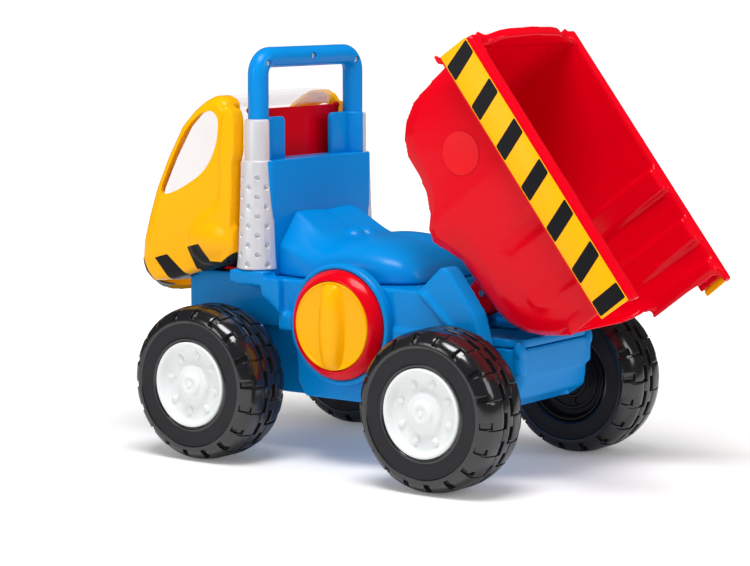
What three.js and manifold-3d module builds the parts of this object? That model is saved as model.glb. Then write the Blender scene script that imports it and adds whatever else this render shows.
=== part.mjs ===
// Toy dump truck, in millimetres, +X forward, +Y to its left, +Z up.
// Everything is drawn from the point on the ground below the rear axle, and the
// whole truck is moved at the end so that its box is centred on X = 0.
import * as THREE from "three";
import { mergeVertices } from "three/addons/utils/BufferGeometryUtils.js";
import Module from "manifold-3d";

// ---- driving dimensions ----
const WHEELBASE = 243.7;
const WHEEL_R = 67;
const WHEEL_OUTER_Y = 139.5; // outer face of the tyre
const WHEEL_INNER_Y = 81; // inner face of the tyre
const HUB_R = 36.6;
const LUGS = 18; // tread lugs in one row
const LUG_FOOT_R = 61; // inside the carcass, so that only the lugs show
const AXLE_R = 3;
const WALL = 2.8; // moulded wall
const GAP = 0.3; // between pieces that touch

const PARTING_Z = 112.4; // lower chassis to upper body
const DECK_Z = 120; // deck behind the bonnet
const BODY_TOP_Z = 157; // upper body to bonnet, cab and headboard
const KEEL_Y = 56; // half-width between the wheels
const MID_Y = 78; // half-width between the axles
const CHASSIS_REAR_X = -42;
const CHASSIS_FRONT_X = 303;

const PIVOT = { x: 47, z: 132 }; // bucket hinge
const KNOB = { x: 122, z: 123 }; // tipping knob
const TIP_ANGLE = THREE.MathUtils.degToRad(52.5); // full tip, the pose drawn
const SECTOR_TEETH = 36;
const PINION_TEETH = 21;
const PRESSURE_ANGLE = THREE.MathUtils.degToRad(20);
const BACKLASH = 0.5;

const STACK = { x: 222, y: 68, topZ: 257, baseZ: 163, topR: 15, baseR: 18.5 };
const SLEEVE_R = 11.8;
const HANDLE_R = 9;
const HANDLE_TOP_Z = 345.8;
const HANDLE_FOOT_Z = 262;
const HANDLE_BEND_R = 15;
const HEADBOARD_TOP_Z = 257.4;

const RIM_Z = 187.8; // bucket rim above the hinge when level
const RIM_REAR_X = -92; // rear end of the rim from the hinge when level
const RIM_LENGTH = 247;
const BUCKET_WALL = 2.6;

const wasm = await Module();
wasm.setup();

// ---- shape helpers ----
function solid(geometry) {
  for (const name of ["normal", "uv"]) geometry.deleteAttribute(name);
  const merged = mergeVertices(geometry, 1e-4);
  const position = merged.attributes.position;
  const index = merged.index.array;
  const triangles = [];
  let volume = 0;
  const [a, b, c] = [new THREE.Vector3(), new THREE.Vector3(), new THREE.Vector3()];
  for (let i = 0; i < index.length; i += 3) {
    const [p, q, r] = [index[i], index[i + 1], index[i + 2]];
    if (p === q || q === r || r === p) continue;
    triangles.push([p, q, r]);
    a.fromBufferAttribute(position, p);
    b.fromBufferAttribute(position, q);
    c.fromBufferAttribute(position, r);
    volume += a.dot(b.cross(c));
  }
  if (volume < 0) triangles.forEach((t) => t.reverse());
  return new wasm.Manifold(new wasm.Mesh({
    numProp: 3,
    vertProperties: new Float32Array(position.array),
    triVerts: new Uint32Array(triangles.flat()),
  }));
}

const union = (...parts) => parts.reduce((sum, part) => sum.add(part));

function block(x, y, z) {
  const g = new THREE.BoxGeometry(x[1] - x[0], y[1] - y[0], z[1] - z[0]);
  return solid(g.translate((x[0] + x[1]) / 2, (y[0] + y[1]) / 2, (z[0] + z[1]) / 2));
}

// A cylinder or cone along X, Y or Z through a point given in the other two directions.
function round(axis, centre, span, r0, r1 = r0, sides = 24) {
  const length = span[1] - span[0];
  const g = new THREE.CylinderGeometry(r1, r0, length, sides);
  const middle = (span[0] + span[1]) / 2;
  if (axis === "x") g.rotateZ(-Math.PI / 2).translate(middle, centre[0], centre[1]);
  if (axis === "y") g.translate(centre[0], middle, centre[1]);
  if (axis === "z") g.rotateX(Math.PI / 2).translate(centre[0], centre[1], middle);
  return solid(g);
}

const toShape = (points) => new THREE.Shape(points.map(([x, y]) => new THREE.Vector2(x, y)));

// An outline in X and Z, extruded along Y.
function sidePlate(points, y) {
  const g = new THREE.ExtrudeGeometry(toShape(points), { depth: y[1] - y[0], bevelEnabled: false });
  return solid(g.rotateX(Math.PI / 2).translate(0, y[1], 0));
}

// An outline in X and Y, extruded along Z.
function planPlate(points, z) {
  const g = new THREE.ExtrudeGeometry(toShape(points), { depth: z[1] - z[0], bevelEnabled: false });
  return solid(g.translate(0, 0, z[0]));
}

// A plan rectangle with round corners, extruded along Z.
function roundedPlan(x, halfWidth, radius, z) {
  const points = [];
  const corners = [[x[1], -1, -90], [x[1], 1, 0], [x[0], 1, 90], [x[0], -1, 180]];
  for (const [cx, side, start] of corners) {
    const inwardX = cx === x[1] ? cx - radius : cx + radius;
    for (let k = 0; k <= 3; k++) {
      const angle = THREE.MathUtils.degToRad(start + k * 30);
      points.push([inwardX + radius * Math.cos(angle), side * (halfWidth - radius) + radius * Math.sin(angle)]);
    }
  }
  return planPlate(points, z);
}

// Skins a row of closed rings, each a list of [x, y, z] with the same number of points.
// flat(point) gives the two coordinates in which the end rings are closed.
function loft(rings, flat) {
  const n = rings[0].length;
  const indices = [];
  for (let k = 0; k + 1 < rings.length; k++) {
    for (let i = 0; i < n; i++) {
      const [a, b] = [k * n + i, k * n + ((i + 1) % n)];
      indices.push(a, b, b + n, a, b + n, a + n);
    }
  }
  const last = (rings.length - 1) * n;
  for (const t of endCap(rings[0], flat)) indices.push(...t.reverse());
  for (const t of endCap(rings[rings.length - 1], flat)) indices.push(...t.map((i) => i + last));
  const g = new THREE.BufferGeometry();
  g.setAttribute("position", new THREE.Float32BufferAttribute(rings.flat(2), 3));
  g.setIndex(indices);
  return solid(g);
}

// Triangles that close a ring, each turned so that its edges run the way the ring does.
function endCap(ring, flat) {
  const triangles = THREE.ShapeUtils.triangulateShape(ring.map((p) => new THREE.Vector2(...flat(p))), []);
  const follows = (p, q) => (p + 1) % ring.length === q;
  const alongRing = triangles.some(([a, b, c]) => follows(a, b) || follows(b, c) || follows(c, a));
  return alongRing ? triangles : triangles.map((t) => [...t].reverse());
}

// Moves an outline sideways by a distance, outwards for a counter-clockwise one.
function offset(points, distance) {
  const n = points.length;
  const area = points.reduce((s, p, i) => s + p[0] * points[(i + 1) % n][1] - points[(i + 1) % n][0] * p[1], 0);
  const side = Math.sign(area);
  const normal = (p, q) => {
    const length = Math.hypot(q[0] - p[0], q[1] - p[1]);
    return [(side * (q[1] - p[1])) / length, (-side * (q[0] - p[0])) / length];
  };
  return points.map((p, i) => {
    const before = normal(points[(i + n - 1) % n], p);
    const after = normal(p, points[(i + 1) % n]);
    const scale = distance / (1 + before[0] * after[0] + before[1] * after[1]);
    return [p[0] + (before[0] + after[0]) * scale, p[1] + (before[1] + after[1]) * scale];
  });
}

const mirrored = (part) => part.mirror([0, 1, 0]);
const bothSides = (part) => part.add(mirrored(part));
const arc = (cx, cy, r, from, to, steps) => Array.from({ length: steps + 1 }, (_, k) => {
  const angle = THREE.MathUtils.degToRad(from + ((to - from) * k) / steps);
  return [cx + r * Math.cos(angle), cy + r * Math.sin(angle)];
});

// ---- materials ----
const finish = (color, roughness, metalness = 0, extra = {}) =>
  new THREE.MeshStandardMaterial({ color, roughness, metalness, ...extra });
const BLUE = finish("#0080cc", 0.35);
const YELLOW = finish("#ffc000", 0.35);
const RED = finish("#dc0018", 0.35);
const BLACK = finish("#202024", 0.3);
const WHITE = finish("#f0f2f2", 0.3);
const SILVER = finish("#cfcfd4", 0.5);
const STEEL = finish("#b4b4b8", 0.35, 1);
const CLEAR = finish("#f4f7fa", 0.05, 0, { transparent: true, opacity: 0.35 });
const NYLON = finish("#e8e4d8", 0.5);

const truck = new THREE.Group();
function place(group, name, shape, material) {
  const { vertProperties, triVerts } = shape.getMesh();
  const g = new THREE.BufferGeometry();
  g.setAttribute("position", new THREE.BufferAttribute(vertProperties, 3));
  g.setIndex(new THREE.BufferAttribute(triVerts, 1));
  g.computeVertexNormals();
  const mesh = new THREE.Mesh(g, material);
  mesh.name = name;
  group.add(mesh);
}

// ---- gears ----
const CENTRE_DISTANCE = Math.hypot(KNOB.x - PIVOT.x, KNOB.z - PIVOT.z);
const GEAR_MODULE = (2 * CENTRE_DISTANCE) / (SECTOR_TEETH + PINION_TEETH);
const MESH_ANGLE = Math.atan2(KNOB.z - PIVOT.z, KNOB.x - PIVOT.x); // hinge to knob, truck at rest

// The outline of teeth numbered first to last, tooth 0 centred on an angle.
function toothOutline(teeth, first, last, angle0) {
  const pitchR = (GEAR_MODULE * teeth) / 2;
  const baseR = pitchR * Math.cos(PRESSURE_ANGLE);
  const involute = (r) => {
    const a = Math.acos(Math.min(1, baseR / r));
    return Math.tan(a) - a;
  };
  const thickness = (Math.PI * GEAR_MODULE) / 2 - BACKLASH / 2;
  const half = (r) => thickness / (2 * pitchR) + involute(pitchR) - involute(r);
  const radii = [-1.25, -0.2, 0.9].map((k) => pitchR + k * GEAR_MODULE);
  const points = [];
  for (let k = first; k <= last; k++) {
    const middle = angle0 + (k * 2 * Math.PI) / teeth;
    for (const r of radii) points.push([r, middle - half(r)]);
    for (const r of [...radii].reverse()) points.push([r, middle + half(r)]);
  }
  return points.map(([r, a]) => [r * Math.cos(a), r * Math.sin(a)]);
}

// ---- wheels ----
// Flat-topped lugs standing on the carcass, one of them straight down where turn is 0.
function treadRow(y, turn) {
  const pitch = 360 / LUGS;
  const LUG_HALF_ANGLE = 5;
  const tipR = WHEEL_R / Math.cos(THREE.MathUtils.degToRad(LUG_HALF_ANGLE));
  const at = (angle, r) => {
    const a = THREE.MathUtils.degToRad(turn - 90 + angle);
    return [r * Math.cos(a), r * Math.sin(a)];
  };
  const points = [];
  for (let k = 0; k < LUGS; k++) {
    points.push(at(k * pitch - LUG_HALF_ANGLE, tipR), at(k * pitch + LUG_HALF_ANGLE, tipR));
    points.push(at(k * pitch + 7, LUG_FOOT_R), at(k * pitch + 13, LUG_FOOT_R));
  }
  const hole = toShape(Array.from({ length: LUGS }, (_, k) => at(k * pitch, 60)));
  const row = toShape(points);
  row.holes.push(hole);
  const g = new THREE.ExtrudeGeometry(row, { depth: y[1] - y[0], bevelEnabled: false });
  return solid(g.rotateX(Math.PI / 2).translate(0, y[1], 0));
}

function ring(profile, sides = 24) {
  const points = [...profile, profile[0]].map(([r, y]) => new THREE.Vector2(r, y));
  return solid(new THREE.LatheGeometry(points, sides));
}

function tyre() {
  const carcass = ring([
    [37.2, 137.5], [46, WHEEL_OUTER_Y], [57, 136.5], [62.6, 131], [62.6, 89], [57, 84], [46, WHEEL_INNER_Y],
    [37.2, 83], [37.2, 87], [58.8, 93], [58.8, 127], [37.2, 133],
  ], 20);
  return union(carcass, treadRow([111.5, 130], 0), treadRow([90, 109], 180 / LUGS));
}

function hub() {
  const dish = solid(new THREE.LatheGeometry([
    [0, 118], [10, 118], [10, 124], [27, 124], [HUB_R, 131], [HUB_R, 138.5], [33.5, 138.8],
    [31, 134], [17, 131], [14.5, 138.5], [0, WHEEL_OUTER_Y],
  ].map(([r, y]) => new THREE.Vector2(r, y)), 20));
  const bumps = Array.from({ length: 8 }, (_, k) => {
    const a = ((k + 0.5) * Math.PI) / 4;
    return round("y", [25 * Math.cos(a), 25 * Math.sin(a)], [128, 135], 4, 2.5, 4);
  });
  const bore = round("y", [0, 0], [110, 128], AXLE_R + GAP / 2, AXLE_R + GAP / 2, 12);
  return union(dish, ...bumps).subtract(bore);
}

function wheelBack() {
  return ring([[3.4, 84], [34, 84], [HUB_R, 82.5], [HUB_R, 92], [12, 88], [9, 100], [3.4, 100]], 20);
}

function wheelset(end, x) {
  const group = new THREE.Group();
  group.position.set(x, 0, WHEEL_R);
  place(group, `${end}_axle`, round("y", [0, 0], [-127, 127], AXLE_R, AXLE_R, 12), STEEL);
  for (const [side, turn] of [["left", (s) => s], ["right", mirrored]]) {
    place(group, `${end}_${side}_tyre`, turn(tyre()), BLACK);
    place(group, `${end}_${side}_hub`, turn(hub()), WHITE);
    place(group, `${end}_${side}_wheel_back`, turn(wheelBack()), BLACK);
  }
  truck.add(group);
}

// ---- chassis and body ----
const keelOutline = [
  [CHASSIS_REAR_X, PARTING_Z], [CHASSIS_REAR_X, 88], [-36, 70], [-22, 60], [30, 56], [200, 54],
  [294, 58], [CHASSIS_FRONT_X, 72], [CHASSIS_FRONT_X, PARTING_Z],
];
const bellyOutline = [[70, PARTING_Z], [72, 70], [80, 57], [164, 57], [172, 70], [174, PARTING_Z]];
const SCREWS = [[-24, 38], [-24, -38], [286, 44], [286, -44]];

const dropTo = (outline, z) => outline.map(([x, h]) => [x, h > PARTING_Z - WALL - 1 ? z : h]);

function lowerChassis() {
  const outer = sidePlate(keelOutline, [-KEEL_Y, KEEL_Y])
    .intersect(roundedPlan([CHASSIS_REAR_X, CHASSIS_FRONT_X], KEEL_Y, 14, [40, PARTING_Z]))
    .add(sidePlate(bellyOutline, [-MID_Y, MID_Y]));
  const inner = sidePlate(dropTo(offset(keelOutline, -WALL), 120), [WALL - KEEL_Y, KEEL_Y - WALL])
    .intersect(roundedPlan([CHASSIS_REAR_X + WALL, CHASSIS_FRONT_X - WALL], KEEL_Y - WALL, 11, [40, 130]))
    .add(sidePlate(dropTo(offset(bellyOutline, -WALL), 120), [WALL - MID_Y, MID_Y - WALL]));
  let shell = outer.subtract(inner);
  for (const x of [0, WHEELBASE]) {
    shell = shell.add(bothSides(round("y", [x, WHEEL_R], [44, KEEL_Y], 11, 11, 16)));
    shell = shell.subtract(round("y", [x, WHEEL_R], [-90, 90], 6.1, 6.1, 12));
  }
  for (const [x, y] of SCREWS) {
    shell = shell.add(round("z", [x, y], [59, PARTING_Z], 6, 6, 8));
    shell = shell.subtract(round("z", [x, y], [40, 130], 2, 2, 8));
    shell = shell.subtract(round("z", [x, y], [40, 66], 4.4, 4.4, 8));
  }
  return shell;
}

// Room for the sector gear to swing.
const sectorBay = () => round("y", [PIVOT.x, PIVOT.z], [-8, 8], 52.5, 52.5, 32);

function upperBody() {
  const base = PARTING_Z + GAP;
  const middle = [[60, base], [187, base], [187, BODY_TOP_Z], [60, BODY_TOP_Z]];
  const front = [[180, base], [CHASSIS_FRONT_X, base], [CHASSIS_FRONT_X, 148], [298, BODY_TOP_Z], [180, BODY_TOP_Z]];
  const deck = [[CHASSIS_REAR_X, base], [66, base], [66, DECK_Z], [CHASSIS_REAR_X, DECK_Z]];
  const shoulder = [
    [-20, base], [66, base], [66, BODY_TOP_Z], [44, BODY_TOP_Z], [38, 162], [20, 178.5], [15, 176], [-12, 141],
  ];
  const frontY = 66;
  let body = union(
    sidePlate(middle, [-MID_Y, MID_Y]),
    sidePlate(front, [-frontY, frontY]),
    sidePlate(deck, [-KEEL_Y, KEEL_Y])
      .intersect(roundedPlan([CHASSIS_REAR_X, 90], KEEL_Y, 14, [100, 130])),
    bothSides(sidePlate(shoulder, [60, 79])),
  );
  const inside = (outline) => offset(outline, -WALL).map(([x, z]) => [x, z < base + WALL + 1 ? 100 : z]);
  const hollow = union(
    sidePlate(inside(middle), [WALL - MID_Y, MID_Y - WALL]),
    sidePlate(inside(front), [WALL - frontY, frontY - WALL]),
    sidePlate(inside(deck), [WALL - KEEL_Y + 3, KEEL_Y - WALL - 3]),
    bothSides(sidePlate(inside(shoulder), [60 + WALL, 79 - WALL])),
  );
  const fender = bothSides(union(
    block([187 - WALL, 206], [60, 86.5], [base, BODY_TOP_Z]),
    block([200, 241.5], [60, 86.5], [150, BODY_TOP_Z]),
    block([203, 241.5], [76.5, 86.5], [150, STACK.baseZ - GAP]),
    stackSeat(0).intersect(outboard(GAP)),
  )).subtract(round("y", [WHEELBASE, WHEEL_R], [-90, 90], 84, 84, 32));
  const frontCore = block([190, 300], [WALL - frontY, frontY - WALL], [100, BODY_TOP_Z - WALL]);
  const knobWindow = round("y", [KNOB.x, KNOB.z], [-90, 90], 8.1, 8.1, 16);
  const mechanismBay = block([72, 172], [-50, 50], [150, 170]);
  body = union(body.subtract(hollow), fender.subtract(frontCore))
    .subtract(knobWindow).subtract(mechanismBay).subtract(sectorBay());
  const ear = sidePlate(
    [[36, DECK_Z - 1], [58, DECK_Z - 1], ...arc(PIVOT.x, PIVOT.z, 10, 0, 180, 8)], [20, 27]);
  body = body.add(bothSides(ear));
  for (const [x, y] of SCREWS) {
    const top = x < 0 ? DECK_Z - 1 : BODY_TOP_Z - 1;
    body = body.add(round("z", [x, y], [base, top], 6, 6, 8));
    body = body.subtract(round("z", [x, y], [100, DECK_Z - 2.5], 2, 2, 8));
  }
  return body.subtract(round("y", [PIVOT.x, PIVOT.z], [-40, 40], AXLE_R + GAP, AXLE_R + GAP, 16));
}

// [x, half-width, height above the body top] of the bonnet, rear to front.
const bonnetStations = [
  [67, 44, 9], [70, 50, 17], [76, 56, 24], [87, 62, 30], [100, 66, 34], [116, 69, 36], [136, 70, 36],
  [152, 69, 34.5], [164, 68.5, 35.5], [176, 68, 41], [188, 68, 48.5], [212, 68, 59],
];

function bonnetForm(inset, bottom) {
  const rings = bonnetStations.map(([x, halfWidth, height]) => {
    const points = [[x, halfWidth - inset, bottom], [x, inset - halfWidth, bottom]];
    for (let k = 0; k <= 12; k++) {
      const t = Math.PI - (k * Math.PI) / 12;
      const y = Math.sign(Math.cos(t)) * Math.abs(Math.cos(t)) ** (2 / 3.4) * (halfWidth - inset);
      const z = BODY_TOP_Z + 2 + Math.sin(t) ** (2 / 3.4) * (height - 2 - inset);
      points.push([x, y, z]);
    }
    return points;
  });
  return loft(rings, ([, y, z]) => [y, z]);
}

const headboardPlan = [
  [199.5, 0], [204.5, 66], [206, 73], [211, 76], [233.5, 76], [233.5, -76], [211, -76], [206, -73], [204.5, -66],
];

function stackCone(grow) {
  return union(
    round("z", [STACK.x, STACK.y], [STACK.baseZ, STACK.topZ], STACK.baseR + grow, STACK.topR + grow),
    round("z", [STACK.x, STACK.y], [STACK.topZ - 0.01, 293], SLEEVE_R + grow),
  );
}

// The pad that the stack stands on.
const stackSeat = (grow) =>
  round("z", [STACK.x, STACK.y], [150, STACK.baseZ - GAP + grow], STACK.baseR + grow);
const socket = () => round("z", [STACK.x, STACK.y], [HANDLE_FOOT_Z - GAP, 300], HANDLE_R + GAP);
const outboard = (gap) => block([190, 250], [STACK.y + gap, 110], [100, 320]);

function bonnet() {
  const shell = bonnetForm(0, BODY_TOP_Z + GAP).subtract(
    bonnetForm(WALL, BODY_TOP_Z - 5).subtract(block([60, 67 + WALL], [-90, 90], [100, 300])));
  const clear = planPlate(offset(headboardPlan, GAP), [150, 300]);
  const notch = sectorBay().intersect(block([50, 100], [-8, 8], [100, 167.5]));
  return shell.subtract(clear).subtract(bothSides(stackCone(GAP).add(stackSeat(GAP)))).subtract(notch);
}

function headboard() {
  const outer = planPlate(headboardPlan, [BODY_TOP_Z + GAP, HEADBOARD_TOP_Z]);
  const inner = planPlate(offset(headboardPlan, -WALL), [BODY_TOP_Z - 5, HEADBOARD_TOP_Z - WALL]);
  const postCore = bothSides(union(
    round("z", [STACK.x, STACK.y], [BODY_TOP_Z + GAP, HEADBOARD_TOP_Z], STACK.topR),
    round("z", [STACK.x, STACK.y], [HEADBOARD_TOP_Z - 1, 294], SLEEVE_R),
    block([219, 225], [33.5, 60], [HEADBOARD_TOP_Z - 1, 294]),
  ));
  return union(outer.subtract(inner), postCore)
    .subtract(bothSides(outboard(0).intersect(stackCone(GAP).add(stackSeat(GAP)))))
    .subtract(bothSides(outboard(0).intersect(block([190, 250], [60, 110], [STACK.topZ, 320]))))
    .subtract(bothSides(outboard(0).intersect(block([200, 240], [76.2, 90], [150, STACK.baseZ]))))
    .subtract(bothSides(socket()));
}

function exhaustStack() {
  return stackCone(0).intersect(outboard(GAP)).subtract(socket());
}

// ---- carrying handle ----
function handleTube(radius) {
  const corner = arc(0, 0, HANDLE_BEND_R, 0, 90, 6);
  const [cy, cz] = [STACK.y - HANDLE_BEND_R, HANDLE_TOP_Z - HANDLE_BEND_R];
  const left = [[STACK.y, HANDLE_FOOT_Z], ...corner.map(([a, b]) => [cy + a, cz + b])];
  const path = [...left, ...left.slice().reverse().map(([y, z]) => [-y, z])];
  const rings = path.map(([y, z], i) => {
    const before = path[Math.max(0, i - 1)];
    const after = path[Math.min(path.length - 1, i + 1)];
    const tangent = new THREE.Vector2(after[0] - before[0], after[1] - before[1]).normalize();
    return Array.from({ length: 16 }, (_, k) => {
      const a = ((k + 0.5) * 2 * Math.PI) / 16;
      const across = radius * Math.cos(a);
      return [STACK.x + radius * Math.sin(a), y - tangent.y * across, z + tangent.x * across];
    });
  });
  return loft(rings, ([x, y]) => [x, y]);
}

const handleScrews = [["left", 60, 339], ["centre", 0, HANDLE_TOP_Z], ["right", -60, 339]];

function handleHalf(front) {
  const half = front ? [STACK.x + GAP / 2, 250] : [190, STACK.x - GAP / 2];
  let part = handleTube(HANDLE_R).intersect(block(half, [-100, 100], [250, 370]));
  for (const [, y, z] of handleScrews) {
    part = part.subtract(round("x", [y, z], [200, STACK.x - 4], 3.3, 3.3, 12));
    part = part.subtract(round("x", [y, z], [200, STACK.x + 5], 1.8, 1.8, 12));
  }
  return part;
}

const handleScrew = (y, z) => union(
  round("x", [y, z], [STACK.x - 6.2, STACK.x - 4.2], 2.9, 2.9, 12),
  round("x", [y, z], [STACK.x - 4.3, STACK.x + 4.6], 1.5, 1.5, 12),
);

// ---- cab ----
const cabOutline = [
  [241.5, 168], [241.5, 286], [243, 300], [248, 309], [256, 312.5], [264, 312], [274, 307.5], [286, 299.5],
  [301, 285], [318, 257], [332, 229], [341.5, 203], [348, 179], [349.5, 161], [346, 152], [336, 144], [312, 147],
];
// [half-width, how far the nose reaches beyond the side outline, how much the chin drops, roof and rear inset]
const cabStations = [[84, -14, 0, 9], [82.5, -8, 0, 4.5], [79, -3, 0, 1.5], [74, 0, 0, 0], [60, 6, 8, 0], [40, 10, 15, 0], [0, 13, 19, 0]];

function cabForm(grow) {
  const CAB_REAR_X = 241.5;
  const station = ([halfWidth, nose, chin, inset], side) => {
    const y = side * (halfWidth > 0 ? halfWidth + grow : 0);
    return offset(cabOutline, grow).map(([x, z]) => {
      const forward = Math.max(0, (x - CAB_REAR_X) / 108);
      const low = Math.max(0, (x - 300) / 50) * Math.max(0, (200 - z) / 50);
      const top = z > 200 ? -inset : inset * 0.6;
      return [x + nose * forward + (x < CAB_REAR_X + 8 ? inset * 0.4 : 0), y, z + top - chin * Math.min(1, low)];
    });
  };
  const rings = [
    ...cabStations.map((s) => station(s, -1)),
    ...cabStations.slice(0, -1).reverse().map((s) => station(s, 1)),
  ];
  return loft(rings, ([x, , z]) => [x, z]);
}

const sideWindow = () => {
  const outline = new THREE.CatmullRomCurve3(
    [[262, 299], [254.5, 290], [258, 268], [271, 247], [296, 231], [316, 224], [321, 229], [311, 250], [294, 279], [277, 295]]
      .map(([x, z]) => new THREE.Vector3(x, z, 0)), true);
  return sidePlate(outline.getPoints(30).slice(0, -1).map((p) => [p.x, p.y]), [-110, 110]);
};
const glazingOutline = [
  [225, 300], [258, 299], [280, 287], [300, 262], [318, 230], [331, 206], [366, 214], [345, 300], [280, 335], [225, 335],
];
const GLAZING_Y = 64;

function cabShell() {
  const below = [[200, 100], [420, 100], [420, 128], [338, 128], [338, 150], [312, 152], [200, 184]];
  const inner = cabForm(-WALL);
  const rearMouth = block([220, 247], [WALL - 80, 80 - WALL], [100, 309]);
  const floorMouth = sidePlate([[244, 140], [300, 120], [345, 120], [345, 150], [244, 200]], [-79, 79]);
  return cabForm(0).subtract(inner).subtract(sideWindow()).subtract(rearMouth)
    .subtract(floorMouth.intersect(union(inner, sidePlate(below, [-79, 79]))))
    .subtract(sidePlate(glazingOutline, [-GLAZING_Y, GLAZING_Y]));
}

const cabGlazing = () => cabForm(0).subtract(cabForm(-WALL))
  .intersect(sidePlate(offset(glazingOutline, -GAP), [GAP - GLAZING_Y, GLAZING_Y - GAP]))
  .subtract(block([220, 236], [-100, 100], [280, 340]));

const onNose = (grow, cut) => cabForm(grow).subtract(cabForm(GAP)).intersect(cut);

function cabInterior() {
  const wall = block([234.3, 237.5], [-51, 51], [BODY_TOP_Z + 1, 298]);
  const floor = block([236.3, 322], [-60, 60], [BODY_TOP_Z + 1, BODY_TOP_Z + 4]);
  const seat = block([240, 268], [-50, 50], [BODY_TOP_Z + 3, BODY_TOP_Z + 30]);
  return union(wall, floor, seat).subtract(block([243, 265], [-46, 46], [150, BODY_TOP_Z + 27]));
}

// ---- tipping knob ----
const knobHousing = () => round("y", [KNOB.x, KNOB.z], [MID_Y + GAP, 86.5], 52, 52, 28)
  .subtract(round("y", [KNOB.x, KNOB.z], [83.8, 95], 47.5, 47.5, 28))
  .subtract(round("y", [KNOB.x, KNOB.z], [79.8, 95], 38.5, 38.5, 28))
  .subtract(round("y", [KNOB.x, KNOB.z], [70, 95], 5.5, 5.5, 12));

const atKnob = (part) => part.translate([KNOB.x, 0, KNOB.z]);
const knobBezel = () => atKnob(ring(
  [[38.6, 84.1], [46.9, 84.1], [46.9, 87], [39.6, 95.6], [38.6, 95.6]], 28));

function knob() {
  const dial = solid(new THREE.LatheGeometry(
    [[0, 80.3], [37.6, 80.3], [37.6, 95.8], [36.6, 96.3], [35, 94.8], [0, 94.8]]
      .map(([r, y]) => new THREE.Vector2(r, y)), 28));
  const rib = planPlate(
    [[-11, 93], [11, 93], [8, 101], [4.5, 103.5], [-4.5, 103.5], [-8, 101]], [-36.8, 36.8]);
  const bore = round("y", [0, 0], [75, 90], 4.2, 4.2, 16);
  return atKnob(union(dial, rib).subtract(bore));
}

function pinion() {
  const toSector = MESH_ANGLE + Math.PI; // a gap faces the sector gear
  const outline = toothOutline(PINION_TEETH, 0, PINION_TEETH - 1, toSector + Math.PI / PINION_TEETH);
  return atKnob(sidePlate(outline, [-5, 5]).add(round("y", [0, 0], [-9, 9], 9, 9, 16))
    .subtract(round("y", [0, 0], [-20, 20], 4.2, 4.2, 16)));
}

// ---- bucket, drawn level about its hinge ----
// Side outline from the rear end of the rim, down the tail, along the floor and up the front.
const bucketTail = [[0, 0], [-1.5, -31], [0.5, -47], [8, -80], [12, -93]];
const bucketFloor = [
  [21, -107], [32, -119], [48, -129], [64, -133], [112, -132], [126, -134.5], [137.5, -137.5], [148, -133],
  [158, -123.5], [173, -116], [190, -112.5], [207, -112], [220.5, -106], [229.5, -97.5], [239, -80], [242, -51],
];
const bucketFront = [RIM_LENGTH, 0];
// [half-width, how far the floor has risen there] of the tail, and of the deeper front.
const bucketStations = [
  [[73.5, 130], [73.5, 130]], [[72.6, 112], [73.2, 112]], [[70.6, 74], [72.8, 74]], [[67.5, 24], [72, 24]],
  [[63.5, 10], [70.5, 4]], [[56, 3.5], [66.5, -7]], [[50, 1], [60, -2]], [[45, 0], [45, 0]],
];
const TAIL_LIP = -90.5;

function bucketLoft(outline, narrower, highest) {
  const station = ([tail, front], side) => outline.map(([u, w]) => {
    const forward = Math.min(1, Math.max(0, (u - 100) / 45));
    const halfWidth = tail[0] + (front[0] - tail[0]) * forward;
    const rise = tail[1] + (front[1] - tail[1]) * forward;
    const corner = u > 200 && w < 5 ? Math.min(rise, 24) * 0.5 : 0;
    const bonnetRoom = halfWidth < 50 && w < -100 && u > 95 && u < 165 ? Math.max(0, -126 - w) : 0;
    const up = w < -1 ? Math.min(w + rise + bonnetRoom, Math.max(w, highest)) : w;
    return [u - corner + RIM_REAR_X, side * (halfWidth - narrower), up + RIM_Z];
  });
  const rings = [
    ...bucketStations.map((s) => station(s, -1)),
    ...bucketStations.slice().reverse().map((s) => station(s, 1)),
  ];
  return loft(rings, ([x, , z]) => [x, z]);
}

function bucketShell() {
  const outline = [...bucketTail, ...bucketFloor, bucketFront];
  const inner = offset(outline, -BUCKET_WALL);
  const floor = inner.slice(bucketTail.length, -1);
  const cavity = [[-25, 20], [-25, TAIL_LIP], [14, TAIL_LIP], ...floor, [RIM_LENGTH - 3, 20]];
  const body = bucketLoft(outline, 0, -4).subtract(bucketLoft(cavity, BUCKET_WALL, -1.4));
  const flange = [
    [70.5, 0], [78, 0.4], [80.6, -2], [86, -34], [83.4, -34.5], [78.4, -4.5], [73.4, -3.5], [70.5, -5],
  ];
  const along = (points, u) => {
    const g = new THREE.ExtrudeGeometry(toShape(points), { depth: u[1] - u[0], bevelEnabled: false });
    g.rotateX(Math.PI / 2).rotateZ(Math.PI / 2); // outline in Y and Z, extruded along X
    return solid(g.translate(u[0] + RIM_REAR_X, 0, RIM_Z));
  };
  const frontLip = block(
    [RIM_REAR_X + RIM_LENGTH - 9, RIM_REAR_X + RIM_LENGTH + 1], [-74, 74], [RIM_Z - 4, RIM_Z]);
  const guard = block(
    [RIM_REAR_X + RIM_LENGTH - 8, RIM_REAR_X + RIM_LENGTH - 4], [-46, 46], [RIM_Z - 4, RIM_Z + 8]);
  return union(body, bothSides(along(flange, [-8, 248])), frontLip, guard);
}

const armOutline = [
  ...arc(0, 0, 9.5, 180, 360, 10), [16, 48], [16, 58], [-24, 58], [-24, 50],
];

function bucket() {
  const arms = bothSides(sidePlate(armOutline, [10, 15]));
  return union(bucketShell(), arms)
    .subtract(round("y", [0, 0], [-40, 40], AXLE_R + GAP, AXLE_R + GAP, 16))
    .subtract(round("y", [0, 30], [-40, 40], 3.1, 3.1, 12));
}

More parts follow.
